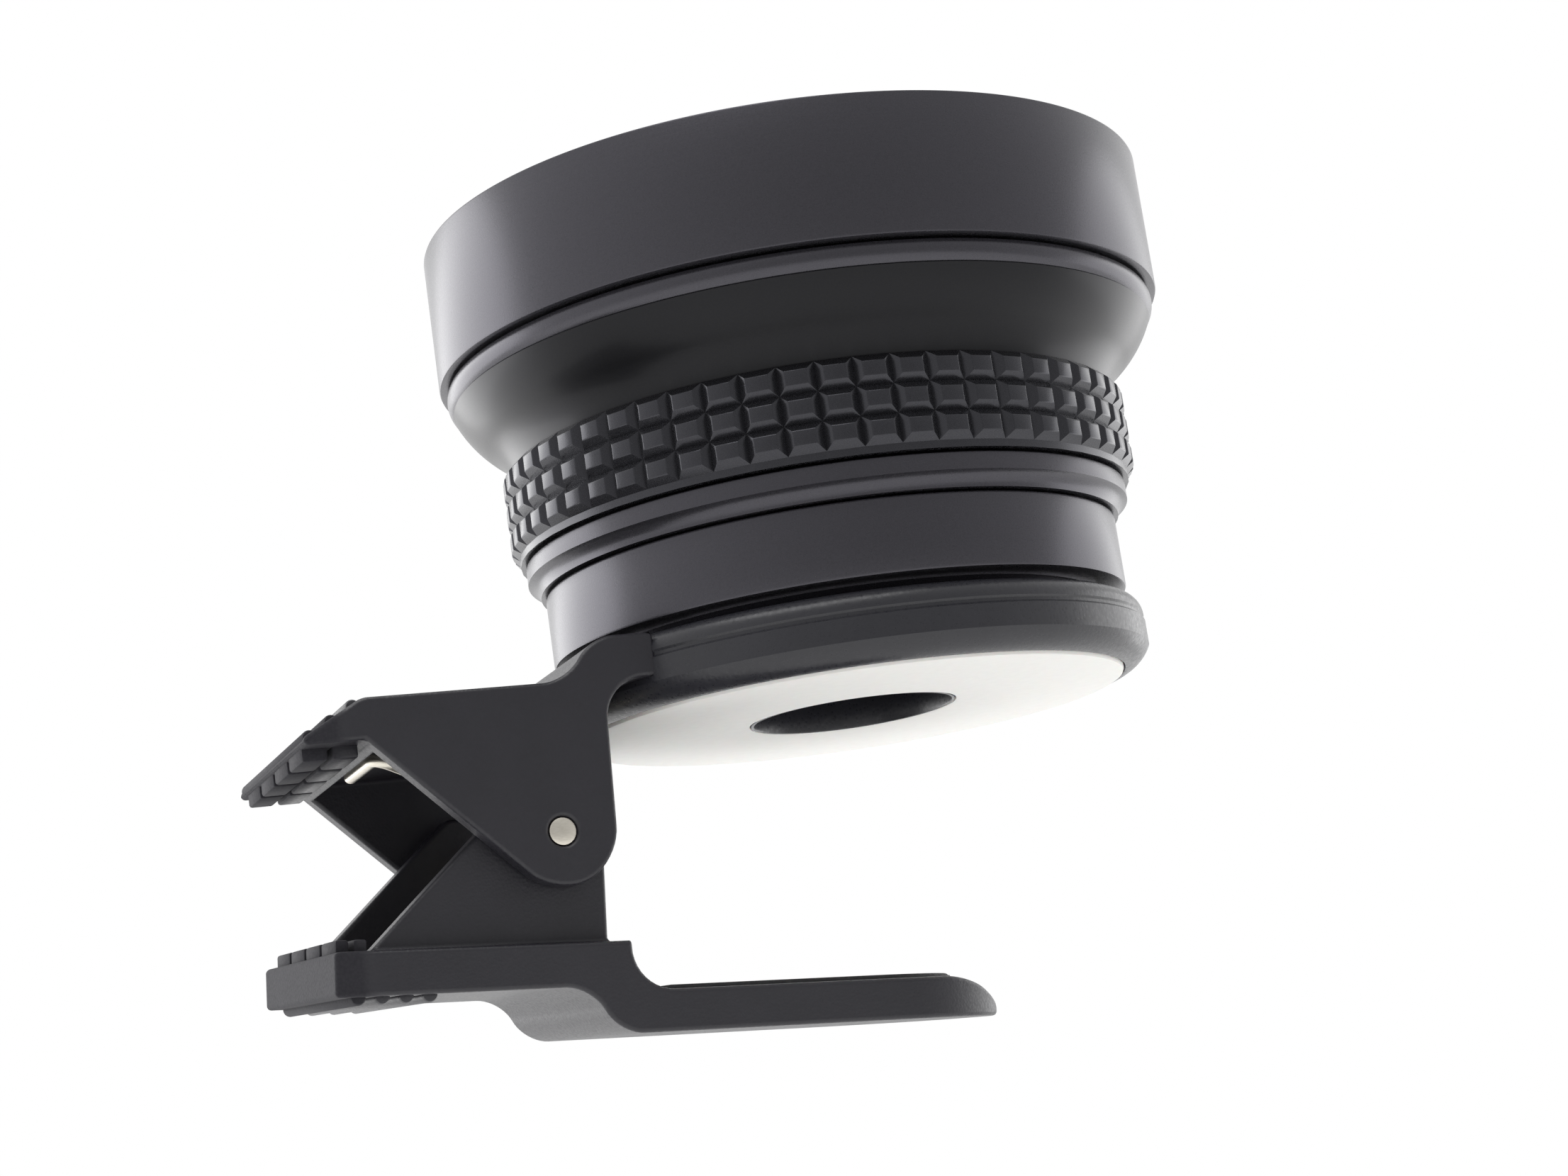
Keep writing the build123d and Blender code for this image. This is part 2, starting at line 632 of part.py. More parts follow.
glass_z = macro_z + macro_seat_z
rear_z = wide_z + spigot_length + body_gap + web
lower_rear_dome = rear_glass_rise / 2
upper_rear_z = rear_z + rear_glass_edge + cement
rear_rim_z = upper_rear_z + rear_glass_edge
rear_retainer_z = rear_rim_z + dome_at(rear_glass_r, rear_glass_rise, rear_opening_r) + thread_play

pieces = {
    "hood_ring": hood_ring(),
    "bead_ring": bead_ring(),
    "front_retainer": front_retainer(),
    "front_glass": glass(front_glass_r, front_seat, front_glass_edge, front_glass_rise,
                         front_glass_hollow, front_glass_rim),
    "bell_housing": bell_housing(),
    "grip_ring": grip_ring(),
    "inner_barrel": inner_barrel(),
    "rear_glass_lower": glass(rear_glass_r, rear_z, rear_glass_edge, lower_rear_dome,
                              lower_rear_dome, rear_glass_rim),
    "rear_glass_upper": glass(rear_glass_r, upper_rear_z, rear_glass_edge, rear_glass_rise, lower_rear_dome),
    "rear_retainer": tube(rear_opening_r, rear_glass_r, rear_retainer_z, neck_top - shelf - edge_break),
    "macro_barrel": macro_barrel(),
    "macro_glass": glass(macro_glass_r, glass_z, macro_glass_edge, macro_glass_rise,
                         -macro_glass_rise, macro_glass_r - macro_bore_r),
    "macro_retainer": macro_retainer(),
    "upper_jaw": upper_jaw(),
    "ring_pad": tube(camera_hole_r, pad_r, 0, pad_thick),
    "lower_jaw": lower_jaw(),
    "tongue_pad": lower_frame(pad_recess()),
    "hinge_pin": hinge_pin(),
    "spring_upper": spring_upper(),
    "spring_lower": spring_lower(),
}
for name, solid in pieces.items():
    save(name, solid)
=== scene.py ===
# %% [markdown]
# # A clip-on phone lens, dressed for the camera
#
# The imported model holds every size, place and motion. This lesson gives each piece the edges,
# grooves and finishes that the real one shows: black anodised aluminium, moulded plastic,
# soft pads, steel wire and coated glass.

# %% Load the model
import math

import bmesh
import bpy
from mathutils import Matrix, Vector


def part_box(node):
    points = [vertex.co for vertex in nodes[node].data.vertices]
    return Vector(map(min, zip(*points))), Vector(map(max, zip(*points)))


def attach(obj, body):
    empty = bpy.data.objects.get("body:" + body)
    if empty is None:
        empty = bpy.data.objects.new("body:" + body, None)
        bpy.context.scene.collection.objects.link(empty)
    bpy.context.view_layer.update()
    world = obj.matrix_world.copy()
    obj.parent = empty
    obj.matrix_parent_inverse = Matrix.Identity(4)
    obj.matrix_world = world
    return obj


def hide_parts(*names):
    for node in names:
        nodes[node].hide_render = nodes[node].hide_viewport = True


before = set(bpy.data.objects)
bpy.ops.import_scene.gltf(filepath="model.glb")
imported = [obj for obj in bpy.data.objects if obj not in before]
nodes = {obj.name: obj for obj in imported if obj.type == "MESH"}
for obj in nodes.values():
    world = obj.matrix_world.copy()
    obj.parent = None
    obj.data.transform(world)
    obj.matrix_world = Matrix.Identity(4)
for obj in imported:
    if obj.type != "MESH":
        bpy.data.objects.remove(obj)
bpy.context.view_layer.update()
MM = 0.001

# %% [markdown]
# ## Reading sizes from the frame
#
# A turned piece is known by its outer radius and its two heights, and all three come from its
# node's box. Sizes that a box can't give, such as a bore, are named where they are used. Sizes
# in this lesson are millimetres, apart from the lamps', and MM turns them to metres at the last
# moment.


# %% Sizes from a node's box
def low(node, axis="z"):
    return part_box(node)[0]["xyz".index(axis)] / MM


def high(node, axis="z"):
    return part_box(node)[1]["xyz".index(axis)] / MM


def radius(node):
    lo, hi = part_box(node)
    return (hi.y - lo.y) / 2 / MM


print("lens length:", round(high("hood_ring") - low("ring_pad"), 2), "mm")

# %% [markdown]
# ## Adding nodes and colours
#
# Every material is built in the same way, so one small function adds a shader node, sets its
# sockets and links it. Colours are written as they look on a screen and turned to linear light.


# %% Helpers for materials
def linear(hex_colour, times=1.0):
    """Linear colour from an sRGB hex value, made lighter or darker by a factor."""
    parts = [int(hex_colour[i:i + 2], 16) / 255 for i in (0, 2, 4)]
    lin = [c / 12.92 if c <= 0.04045 else ((c + 0.055) / 1.055) ** 2.4 for c in parts]
    return (*[min(1, c * times) for c in lin], 1)


def add(tree, kind, settings=None, **links):
    """Add a shader node, set its properties or inputs, and link its inputs."""
    node = tree.nodes.new("ShaderNode" + kind)
    for key, value in (settings or {}).items():
        if hasattr(node, key):
            setattr(node, key, value)
        else:
            node.inputs[key].default_value = value
    for key, source in links.items():
        name = key.replace("_", " ")
        tree.links.new(source, node.inputs[int(name[1:]) if name[1:].isdigit() else name])
    return node


def new_material(name):
    """Empty node material with its surface shader wired to the output."""
    mat = bpy.data.materials.new(name)
    mat.use_nodes = True
    tree = mat.node_tree
    tree.nodes.clear()
    out = tree.nodes.new("ShaderNodeOutputMaterial")
    shader = tree.nodes.new("ShaderNodeBsdfPrincipled")
    tree.links.new(shader.outputs["BSDF"], out.inputs["Surface"])
    return mat, tree, shader


def millimetres(tree, stretch=(1, 1, 1)):
    """The piece's own coordinates in millimetres, stretched where a pattern has a direction."""
    place = add(tree, "TexCoord")
    scale = tuple(s / MM for s in stretch)
    return add(tree, "Mapping", {"Scale": scale}, Vector=place.outputs["Object"]).outputs["Vector"]


# %% [markdown]
# ## Black anodised aluminium
#
# Such a lens barrel is turned aluminium, bead blasted a little, dyed black and sealed. It shows
# a soft satin sheen with the faintest turning marks round the axis. The metal keeps its default
# IOR. Turning marks are usually about 0.05 mm apart, too fine for this view, so they are drawn
# at 0.25 mm. The bowl looks glossier, and what it mirrors is smeared up and down, as a finer cut
# that wasn't blasted would do. Anisotropy about the lens's axis gives that, and a thin coat
# stands for a sealed layer over the dye. Both are fitted.


# %% Anodised aluminium
def anodised(name, tone, roughness, mark_depth, metallic=0.75, turned=0.0, sealed=0.0):
    mat, tree, shader = new_material(name)
    around = millimetres(tree, (0.04, 0.04, 4.0))
    marks = add(tree, "TexNoise", {"Scale": 1.0, "Detail": 2.0}, Vector=around)
    grain = add(tree, "TexNoise", {"Scale": 9.0, "Detail": 3.0}, Vector=millimetres(tree))
    shade = add(tree, "ValToRGB", None, Fac=grain.outputs["Fac"])
    shade.color_ramp.elements[0].color = linear(tone)
    shade.color_ramp.elements[1].color = linear(tone, 1.35)
    tree.links.new(shade.outputs["Color"], shader.inputs["Base Color"])
    rough = add(tree, "MapRange", {"To Min": roughness - 0.04, "To Max": roughness + 0.05},
                Value=grain.outputs["Fac"])
    tree.links.new(rough.outputs["Result"], shader.inputs["Roughness"])
    mix = add(tree, "Math", {"operation": "ADD"}, _0=marks.outputs["Fac"], _1=grain.outputs["Fac"])
    bump = add(tree, "Bump", {"Strength": mark_depth, "Distance": 0.02 * MM}, Height=mix.outputs["Value"])
    tree.links.new(bump.outputs["Normal"], shader.inputs["Normal"])
    shader.inputs["Metallic"].default_value = metallic
    if turned:
        lathe = add(tree, "Tangent", {"direction_type": "RADIAL", "axis": "Z"})
        tree.links.new(lathe.outputs["Tangent"], shader.inputs["Tangent"])
        shader.inputs["Anisotropic"].default_value = turned
        shader.inputs["Anisotropic Rotation"].default_value = 0.25
    shader.inputs["Coat Weight"].default_value = sealed
    shader.inputs["Coat Roughness"].default_value = 0.2
    return mat


BARREL = anodised("anodised aluminium, satin turned", "444348", 0.28, 0.2)
BOWL = anodised("anodised aluminium, semi-gloss", "262628", 0.42, 0.08, 1.0, 0.8, 0.14)
GRIP = anodised("anodised aluminium, cut pyramids", "3A3A3E", 0.26, 0.1)
print("made", BARREL.name, "and", BOWL.name, "and", GRIP.name)

# %% [markdown]
# ## Moulded plastic
#
# Such a clip is moulded in nylon or ABS, in a spark-eroded mould: nearly black, matt, with a
# fine grain of about 0.2 mm that catches the light as tiny specks. The ring looks smoother. The
# grips, beyond the jaws' knees, look flatter, so they are drawn rougher there. The colour is a
# shade bluer than neutral.


# %% Moulded plastic
GRIPS_FROM = -38.5


def moulded(name, tone, roughness, grain_size, depth, hold=0.0):
    mat, tree, shader = new_material(name)
    place = millimetres(tree)
    grain = add(tree, "TexVoronoi", {"Scale": 1 / grain_size}, Vector=place)
    cloud = add(tree, "TexNoise", {"Scale": 0.35, "Detail": 4.0}, Vector=place)
    shade = add(tree, "ValToRGB", None, Fac=cloud.outputs["Fac"])
    shade.color_ramp.elements[0].color = linear(tone, 0.85)
    shade.color_ramp.elements[1].color = linear(tone, 1.2)
    tree.links.new(shade.outputs["Color"], shader.inputs["Base Color"])
    rough = add(tree, "MapRange", {"To Min": roughness - 0.06, "To Max": roughness + 0.08},
                Value=grain.outputs["Distance"])
    along = add(tree, "SeparateXYZ", None, Vector=place)
    grip = add(tree, "MapRange", {"From Min": GRIPS_FROM - 1, "From Max": GRIPS_FROM, "To Min": hold,
                                  "To Max": 0.0}, Value=along.outputs["X"])
    both = add(tree, "Math", {"operation": "ADD"}, _0=rough.outputs["Result"], _1=grip.outputs["Result"])
    tree.links.new(both.outputs["Value"], shader.inputs["Roughness"])
    bump = add(tree, "Bump", {"Strength": 0.5, "Distance": depth * MM}, Height=grain.outputs["Distance"])
    tree.links.new(bump.outputs["Normal"], shader.inputs["Normal"])
    shader.inputs["IOR"].default_value = 1.5
    return mat


CLIP = moulded("moulded nylon, spark-eroded grain", "232228", 0.42, 0.2, 0.02, 0.45)
RING = moulded("moulded nylon, smoother", "28282D", 0.3, 0.3, 0.012)
TONGUE_PAD = moulded("black rubber, soft matt", "1C1C1E", 0.7, 0.3, 0.02)
print("made", CLIP.name)

# %% [markdown]
# ## Soft white pad
#
# The ring pad is a closed-cell foam rubber, warm white and quite matt, with a faint mottle.
# A little light goes into it, so subsurface scattering softens its edge.


# %% White foam rubber
def foam_rubber():
    mat, tree, shader = new_material("foam rubber, warm white")
    place = millimetres(tree)
    mottle = add(tree, "TexNoise", {"Scale": 1.3, "Detail": 5.0}, Vector=place)
    shade = add(tree, "ValToRGB", None, Fac=mottle.outputs["Fac"])
    shade.color_ramp.elements[0].color = linear("E6E5E2")
    shade.color_ramp.elements[1].color = linear("EEEDEA")
    tree.links.new(shade.outputs["Color"], shader.inputs["Base Color"])
    bump = add(tree, "Bump", {"Strength": 0.3, "Distance": 0.03 * MM}, Height=mottle.outputs["Fac"])
    tree.links.new(bump.outputs["Normal"], shader.inputs["Normal"])
    shader.inputs["Roughness"].default_value = 0.75
    shader.inputs["Subsurface Weight"].default_value = 0.15
    shader.inputs["Subsurface Scale"].default_value = 0.8 * MM
    return mat


WHITE_PAD = foam_rubber()
print("made", WHITE_PAD.name)


# %% [markdown]
# ## Drawn steel
#
# The pin and the spring are steel wire, warm and bright as if nickel plated, but not as smooth
# as a mirror: drawing leaves fine lines in the wire.


# %% Drawn steel
def drawn_steel():
    mat, tree, shader = new_material("steel wire, nickel plated")
    streaks = add(tree, "TexNoise", {"Scale": 3.0, "Detail": 3.0}, Vector=millimetres(tree, (1, 1, 4)))
    shade = add(tree, "ValToRGB", None, Fac=streaks.outputs["Fac"])
    shade.color_ramp.elements[0].color = linear("CFC9BC")
    shade.color_ramp.elements[1].color = linear("EAE5DA")
    tree.links.new(shade.outputs["Color"], shader.inputs["Base Color"])
    bump = add(tree, "Bump", {"Strength": 0.3, "Distance": 0.02 * MM}, Height=streaks.outputs["Fac"])
    tree.links.new(bump.outputs["Normal"], shader.inputs["Normal"])
    shader.inputs["Metallic"].default_value = 1.0
    shader.inputs["Roughness"].default_value = 0.35
    return mat


STEEL = drawn_steel()
print("made", STEEL.name)


# %% [markdown]
# ## Coated glass
#
# Each element is clear optical glass, and such glasses have a thin coating with a faint green
# or violet tint. A transmissive shader gives the glass, and a slow noise in its colour lets the
# tint drift from one to the other. The coating's own reflection isn't modelled.


# %% Coated glass
def coated_glass():
    mat, tree, shader = new_material("optical glass, coated")
    drift = add(tree, "TexNoise", {"Scale": 0.03, "Detail": 1.0}, Vector=millimetres(tree))
    shade = add(tree, "ValToRGB", None, Fac=drift.outputs["Fac"])
    shade.color_ramp.elements[0].color = linear("E8F4EC")
    shade.color_ramp.elements[1].color = linear("F0EAF8")
    tree.links.new(shade.outputs["Color"], shader.inputs["Base Color"])
    shader.inputs["Roughness"].default_value = 0.02
    shader.inputs["IOR"].default_value = 1.52
    shader.inputs["Transmission Weight"].default_value = 1.0
    return mat


GLASS = coated_glass()
print("materials:", len(bpy.data.materials))

# %% [markdown]
# ## Finishing a mesh
#
# Each piece is one object at the origin, with its place in its mesh. After it is built it is
# shaded smooth, except across edges sharper than 30 degrees. It is parented to the body it rides
# on, and the nodes it stands for are hidden.


# %% Finish a piece
SHARP = math.radians(30)


def finish(name, bm, material, body, stands_for):
    """Make a mesh a piece of the part, with its finish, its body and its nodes."""
    bmesh.ops.remove_doubles(bm, verts=bm.verts, dist=0.0005 * MM)
    bmesh.ops.recalc_face_normals(bm, faces=bm.faces)
    mesh = bpy.data.meshes.new(name)
    bm.to_mesh(mesh)
    bm.free()
    piece = bpy.data.objects.new(name, mesh)
    bpy.context.scene.collection.objects.link(piece)
    mesh.materials.append(material)
    mesh.shade_smooth()
    mesh.set_sharp_from_angle(angle=SHARP)
    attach(piece, body)
    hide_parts(*stands_for)
    print(name, len(mesh.polygons), "faces")
    return piece


# %% [markdown]
# ## Turned pieces
#
# A lathe cuts a profile round an axis, and so does spin: the profile is a loop of a few points
# in the XZ plane, its corners are broken with a small vertex bevel as a file would, and a full
# turn is spun about Z. The steps follow the radius, so a wide ring gets the most.


# %% Spin a profile
TINY = 1e-7


def spun(profile, broken=0.12, steps=192, keep=()):
    """Closed loop of (radius, height) corners in mm, spun about Z; all but those in keep are broken."""
    bm = bmesh.new()
    verts = [bm.verts.new((r * MM, 0, z * MM)) for r, z in profile]
    bm.faces.new(verts)
    corners = [v for v, point in zip(verts, profile) if point not in keep and point[0] > 0]
    if broken:
        bmesh.ops.bevel(bm, geom=corners, offset=broken * MM, offset_type="OFFSET", segments=2,
                        profile=0.5, affect="VERTICES", material=-1, clamp_overlap=True)
    bmesh.ops.delete(bm, geom=list(bm.faces), context="FACES_ONLY")
    on_axis = [e for e in bm.edges if max(v.co.x for v in e.verts) < TINY]
    bmesh.ops.delete(bm, geom=on_axis, context="EDGES")
    bmesh.ops.spin(bm, geom=list(bm.verts) + list(bm.edges), cent=(0, 0, 0), axis=(0, 0, 1),
                   angle=2 * math.pi, steps=steps, use_merge=True)
    return bm


def arc_points(start, end, bulge, count):
    """Points along an arc between two (radius, height) points; bulge is its rise to the left."""
    (x0, y0), (x1, y1) = start, end
    half = math.hypot(x1 - x0, y1 - y0) / 2
    bend = (half * half + bulge * bulge) / (2 * abs(bulge))
    side = 1 if bulge > 0 else -1
    nx, ny = -(y1 - y0) / (2 * half) * side, (x1 - x0) / (2 * half) * side
    cx = (x0 + x1) / 2 - nx * (bend - abs(bulge))
    cy = (y0 + y1) / 2 - ny * (bend - abs(bulge))
    a0, a1 = math.atan2(y0 - cy, x0 - cx), math.atan2(y1 - cy, x1 - cx)
    turn = (a1 - a0 + math.pi) % (2 * math.pi) - math.pi
    angles = [a0 + turn * i / count for i in range(count + 1)]
    return [(cx + bend * math.cos(a), cy + bend * math.sin(a)) for a in angles]


# %% [markdown]
# ## Screw threads
#
# The filter mouth and the mounting thread are fine 0.75 mm threads. Seen from the side, rings
# of V grooves look the same as a helix of so fine a pitch, so the zigzag is part of the profile.


# %% Thread profile
THREAD_PITCH = 0.75
THREAD_DEPTH = 0.38


def thread(r, z0, z1, depth):
    """Zigzag of (radius, height) points along a cylinder; a negative depth goes towards the axis."""
    turns = max(1, int(abs(z1 - z0) / THREAD_PITCH))
    step = (z1 - z0) / turns
    points = []
    for i in range(turns):
        z = z0 + i * step
        points += [(r, z), (r, z + step * 0.15), (r + depth, z + step * 0.5), (r, z + step * 0.85)]
    return points + [(r, z1)]


# %% [markdown]
# ## The hood ring
#
# The broad front ring is what one turns to take off the wide half. Its wall is thin at the
# mouth, where a filter screws in. A spun profile is the natural way: it is a lathe part.

# %% Hood ring
HOOD_WALL = 1.75
FILTER_R = 24.5
FILTER_DEPTH = 3.7
MOUTH_PLAIN = 0.4
MOUTH_CHAMFER = 0.35
hood_r, hood_z, hood_top = radius("hood_ring"), low("hood_ring"), high("hood_ring")
hood_bore = hood_r - HOOD_WALL
mouth = thread(FILTER_R, hood_top - MOUTH_PLAIN, hood_top - FILTER_DEPTH, -THREAD_DEPTH / 2)
profile = [(hood_bore, hood_z), (hood_r, hood_z), (hood_r, hood_top), (FILTER_R + MOUTH_CHAMFER, hood_top),
           *mouth, (hood_bore, hood_top - FILTER_DEPTH)]
bm = spun(profile, broken=0.18, steps=256, keep=mouth)
finish("hood", bm, BARREL, "wide", ["hood_ring"])

# %% [markdown]
# ## The bead ring
#
# Below the hood a narrow rounded ring sits between two dark joint lines. Its face is an arc
# that leans out a little towards the hood.

# %% Bead ring
BEAD_FOOT = 0.4
BEAD_HEAD = 0.12
BEAD_RISE = 0.3
BEAD_JOINT = 0.02
bead_r, bead_z, bead_top = radius("bead_ring"), low("bead_ring"), high("bead_ring")
face = arc_points((bead_r - BEAD_FOOT, bead_z + BEAD_JOINT), (bead_r - BEAD_HEAD, bead_top), -BEAD_RISE, 8)
bm = spun([(hood_bore, bead_z), *face, (hood_bore, bead_top)], broken=0, steps=256)
finish("bead", bm, BARREL, "wide", ["bead_ring"])

# %% [markdown]
# ## The bowl
#
# Below the bead the housing narrows like a bowl to a plain neck, which is glossier than the
# grip under it. Inside is the seat for the front glass. The bowl's side is one arc outward,
# and a small hollow arc runs from it into the neck.

# %% Bell housing
NECK_R = 21.6
BOWL_R = 25.2
NECK_TOP = 21.3
NECK_FOOT = 0.05
NECK_HOLLOW = 0.25
BOWL_RISE = 0.45
NECK_JOINS = 6
FRONT_GLASS_R = 22.5
SEAT_UP = 2.0
SEAT_WIDTH = 2
THROAT_R = 13.0
SKIRT_R = 21.1
WALL = 1.5
WEB = 1.4
PLAY = 0.05
grip_z, grip_top = low("grip_ring"), high("grip_ring")
bowl_top, spigot_top = bead_z, high("bell_housing")
seat_z = bowl_top + SEAT_UP
side = arc_points((NECK_R, NECK_TOP), (BOWL_R, bowl_top), -BOWL_RISE, 16)
hollow = arc_points((NECK_R, grip_top + NECK_FOOT), side[NECK_JOINS], NECK_HOLLOW, 10)
bowl = hollow + side[NECK_JOINS + 1:]
print("bowl:", len(bowl), "points, neck", round(NECK_TOP - grip_top, 2), "mm high")
profile = [(hood_bore - PLAY, bowl_top), (hood_bore - PLAY, spigot_top),
           (FRONT_GLASS_R + PLAY, spigot_top), (FRONT_GLASS_R + PLAY, seat_z),
           (FRONT_GLASS_R - SEAT_WIDTH, seat_z), (FRONT_GLASS_R - SEAT_WIDTH, bowl_top),
           (THROAT_R, NECK_TOP), (THROAT_R, NECK_TOP - WEB), (SKIRT_R - WALL, NECK_TOP - WEB),
           (SKIRT_R - WALL, grip_z), (SKIRT_R, grip_z), (SKIRT_R, grip_top), (NECK_R, grip_top), *bowl]
bm = spun(profile, broken=0.1, steps=256, keep=bowl)
finish("bowl", bm, BOWL, "wide", ["bell_housing"])

# %% [markdown]
# ## The grip ring
#
# Three rows of little cut pyramids give a firm hold. On the real ring they are left where V
# grooves round it cross V grooves along it. Here a plain sleeve is spun with one face for
# each pyramid, and inset with a depth raises every one of them at once: the inset slopes are
# the groove's sides. A small bevel then blunts the tops, as wear and dye do.

# %% Grip ring
GRIP_AROUND = 55
GRIP_ROWS = 3
GRIP_STRIP = 0.5
PYRAMID_DEPTH = 0.55
PYRAMID_INSET = 0.48
PYRAMID_BLUNT = 0.07
root_r = radius("grip_ring") - PYRAMID_DEPTH
strip_z = grip_z + GRIP_STRIP
rows = [strip_z + (grip_top - strip_z) * i / GRIP_ROWS for i in range(GRIP_ROWS + 1)]
bm = spun([(SKIRT_R + PLAY, grip_z), (root_r, grip_z)] + [(root_r, z) for z in rows]
          + [(SKIRT_R + PLAY, grip_top)], broken=0, steps=GRIP_AROUND)
bmesh.ops.recalc_face_normals(bm, faces=bm.faces)
lands = [f for f in bm.faces if f.calc_center_median().xy.length > (root_r - 0.1) * MM
         and f.calc_center_median().z > strip_z * MM and abs(f.normal.z) < 0.1]
bmesh.ops.inset_individual(bm, faces=lands, thickness=PYRAMID_INSET * MM, depth=PYRAMID_DEPTH * MM,
                           use_even_offset=True)
rims = {e for f in lands for e in f.edges}
bmesh.ops.bevel(bm, geom=list(rims), offset=PYRAMID_BLUNT * MM, offset_type="OFFSET", segments=1,
                profile=0.5, affect="EDGES", material=-1, clamp_overlap=True)
print("pyramids:", len(lands))
finish("grip", bm, GRIP, "wide", ["grip_ring"])

# %% [markdown]
# ## Shoulder and inner barrel
#
# Below the grip a smooth collar runs in a hollow cove to the rear cylinder. It is the visible
# end of the inner barrel, which carries the two rear glasses in a cell.

# %% Shoulder, tube and rear cell
SHOULDER_R = 21.5
SHOULDER_LENGTH = 2.2
COVE = 1.0
COVE_LAND = 0.3
COVE_HOLLOW = 0.2
SOCKET_R = 18.1
SOCKET_DEPTH = 2.6
REAR_OPENING_R = 10.5
REAR_GLASS_R = 11.6
CELL_WALL = 1.35
macro_r = radius("macro_barrel")
wide_z = low("inner_barrel")
shoulder_top = wide_z + SHOULDER_LENGTH
web_z = wide_z + SOCKET_DEPTH
cell_top = high("inner_barrel")
tube_r = SKIRT_R - WALL - PLAY
cove = arc_points((macro_r + COVE_LAND, wide_z), (SHOULDER_R, wide_z + COVE), COVE_HOLLOW, 8)
profile = [(SHOULDER_R, shoulder_top), (tube_r, shoulder_top), (tube_r, cell_top),
           (tube_r - WEB, cell_top), (tube_r - WEB, web_z + WEB), (REAR_GLASS_R + CELL_WALL, web_z + WEB),
           (REAR_GLASS_R + CELL_WALL, cell_top), (REAR_GLASS_R + PLAY, cell_top),
           (REAR_GLASS_R + PLAY, web_z + WEB), (REAR_OPENING_R, web_z + WEB), (REAR_OPENING_R, web_z),
           (SOCKET_R, web_z), (SOCKET_R, wide_z), *cove]
bm = spun(profile, broken=0.1, steps=256, keep=cove)
finish("shoulder", bm, BARREL, "wide", ["inner_barrel"])

# %% [markdown]
# ## Rear cylinder
#
# The macro half is a plain cylinder. A narrow band of its mounting thread shows as a dark line
# between it and the clip's ring, so the thread is cut with real grooves.

# %% Macro barrel
MOUNT_R = 18.5
MACRO_BORE = 13.0
MACRO_GLASS_R = 14.4
MACRO_SEAT = 0.8
MACRO_LOW = 5.8
MACRO_TOP = 10.9
THREAD_LEAD = 0.3
BODY_GAP = 0.3
SPIGOT_IN = 1.7
thread_low, spigot_high = low("macro_barrel"), high("macro_barrel")
threaded = [(MACRO_BORE, thread_low), (MOUNT_R - THREAD_LEAD, thread_low)]
threaded += thread(MOUNT_R, thread_low + THREAD_LEAD, MACRO_LOW, -THREAD_DEPTH)
profile = [*threaded, (macro_r, MACRO_LOW), (macro_r, MACRO_TOP), (SOCKET_R - BODY_GAP, MACRO_TOP),
           (SOCKET_R - BODY_GAP, spigot_high), (SOCKET_R - SPIGOT_IN, spigot_high),
           (SOCKET_R - SPIGOT_IN, MACRO_TOP), (MACRO_GLASS_R + PLAY, MACRO_TOP),
           (MACRO_GLASS_R + PLAY, MACRO_LOW + MACRO_SEAT), (MACRO_BORE, MACRO_LOW + MACRO_SEAT)]
bm = spun(profile, broken=0.2, steps=256, keep=threaded)
finish("rear_cylinder", bm, BARREL, "macro", ["macro_barrel"])

# %% [markdown]
# ## Retaining rings
#
# Each glass is held by a thin ring, turned with two slots for a spanner. The slots are cut from
# the ring with a boolean, which needs a helper that applies the modifier at once.


# %% Cutting one mesh with another
def as_object(bm, name="blank"):
    mesh = bpy.data.meshes.new(name)
    bm.to_mesh(mesh)
    bm.free()
    obj = bpy.data.objects.new(name, mesh)
    bpy.context.scene.collection.objects.link(obj)
    return obj


def carve(bm, tool_bm, operation="DIFFERENCE"):
    """A new bmesh: the first one cut by, joined to or kept inside the second."""
    for each in (bm, tool_bm):
        bmesh.ops.recalc_face_normals(each, faces=each.faces)
    blank, tool = as_object(bm), as_object(tool_bm, "tool")
    cut = blank.modifiers.new("cut", "BOOLEAN")
    cut.operation, cut.object, cut.solver = operation, tool, "EXACT"
    graph = bpy.context.evaluated_depsgraph_get()
    result = bmesh.new()
    result.from_mesh(bpy.data.meshes.new_from_object(blank.evaluated_get(graph)))
    for obj in (blank, tool):
        bpy.data.objects.remove(obj)
    return result


def block(x0, x1, y0, y1, z0, z1, rounding=0.0):
    """Block between two corners in mm, its edges rounded."""
    bm = bmesh.new()
    size = Matrix.Diagonal(((x1 - x0) * MM, (y1 - y0) * MM, (z1 - z0) * MM, 1))
    centre = Matrix.Translation(Vector(((x0 + x1) / 2, (y0 + y1) / 2, (z0 + z1) / 2)) * MM)
    bmesh.ops.create_cube(bm, size=1, matrix=centre @ size)
    if rounding:
        bmesh.ops.bevel(bm, geom=list(bm.edges), offset=rounding * MM, offset_type="OFFSET",
                        segments=2, profile=0.5, affect="EDGES", material=-1)
    return bm


def join(bm, other):
    """Add the second mesh to the first, as a separate shell."""
    mesh = bpy.data.meshes.new("part")
    other.to_mesh(mesh)
    other.free()
    bm.from_mesh(mesh)
    bpy.data.meshes.remove(mesh)


# %% Retainers
RETAINER_SLOT = 0.75
SLOT_DEPTH = 0.6
SLOT_LAND = 0.9
RETAINER_LAP = 1.1
RETAINER_LEAD = 0.6
SLOT_BACK = 0.8


def retainer(profile, reach):
    """Ring with a spanner slot on each side, cut from a land's width beyond its reach."""
    bm = spun(profile)
    top = max(z for r, z in profile)
    outer = max(r for r, z in profile)
    for side in (-1, 1):
        x0, x1 = sorted((side * (reach + SLOT_LAND), side * (outer + 1)))
        bm = carve(bm, block(x0, x1, -RETAINER_SLOT, RETAINER_SLOT, top - SLOT_DEPTH, top + 1))
    return bm


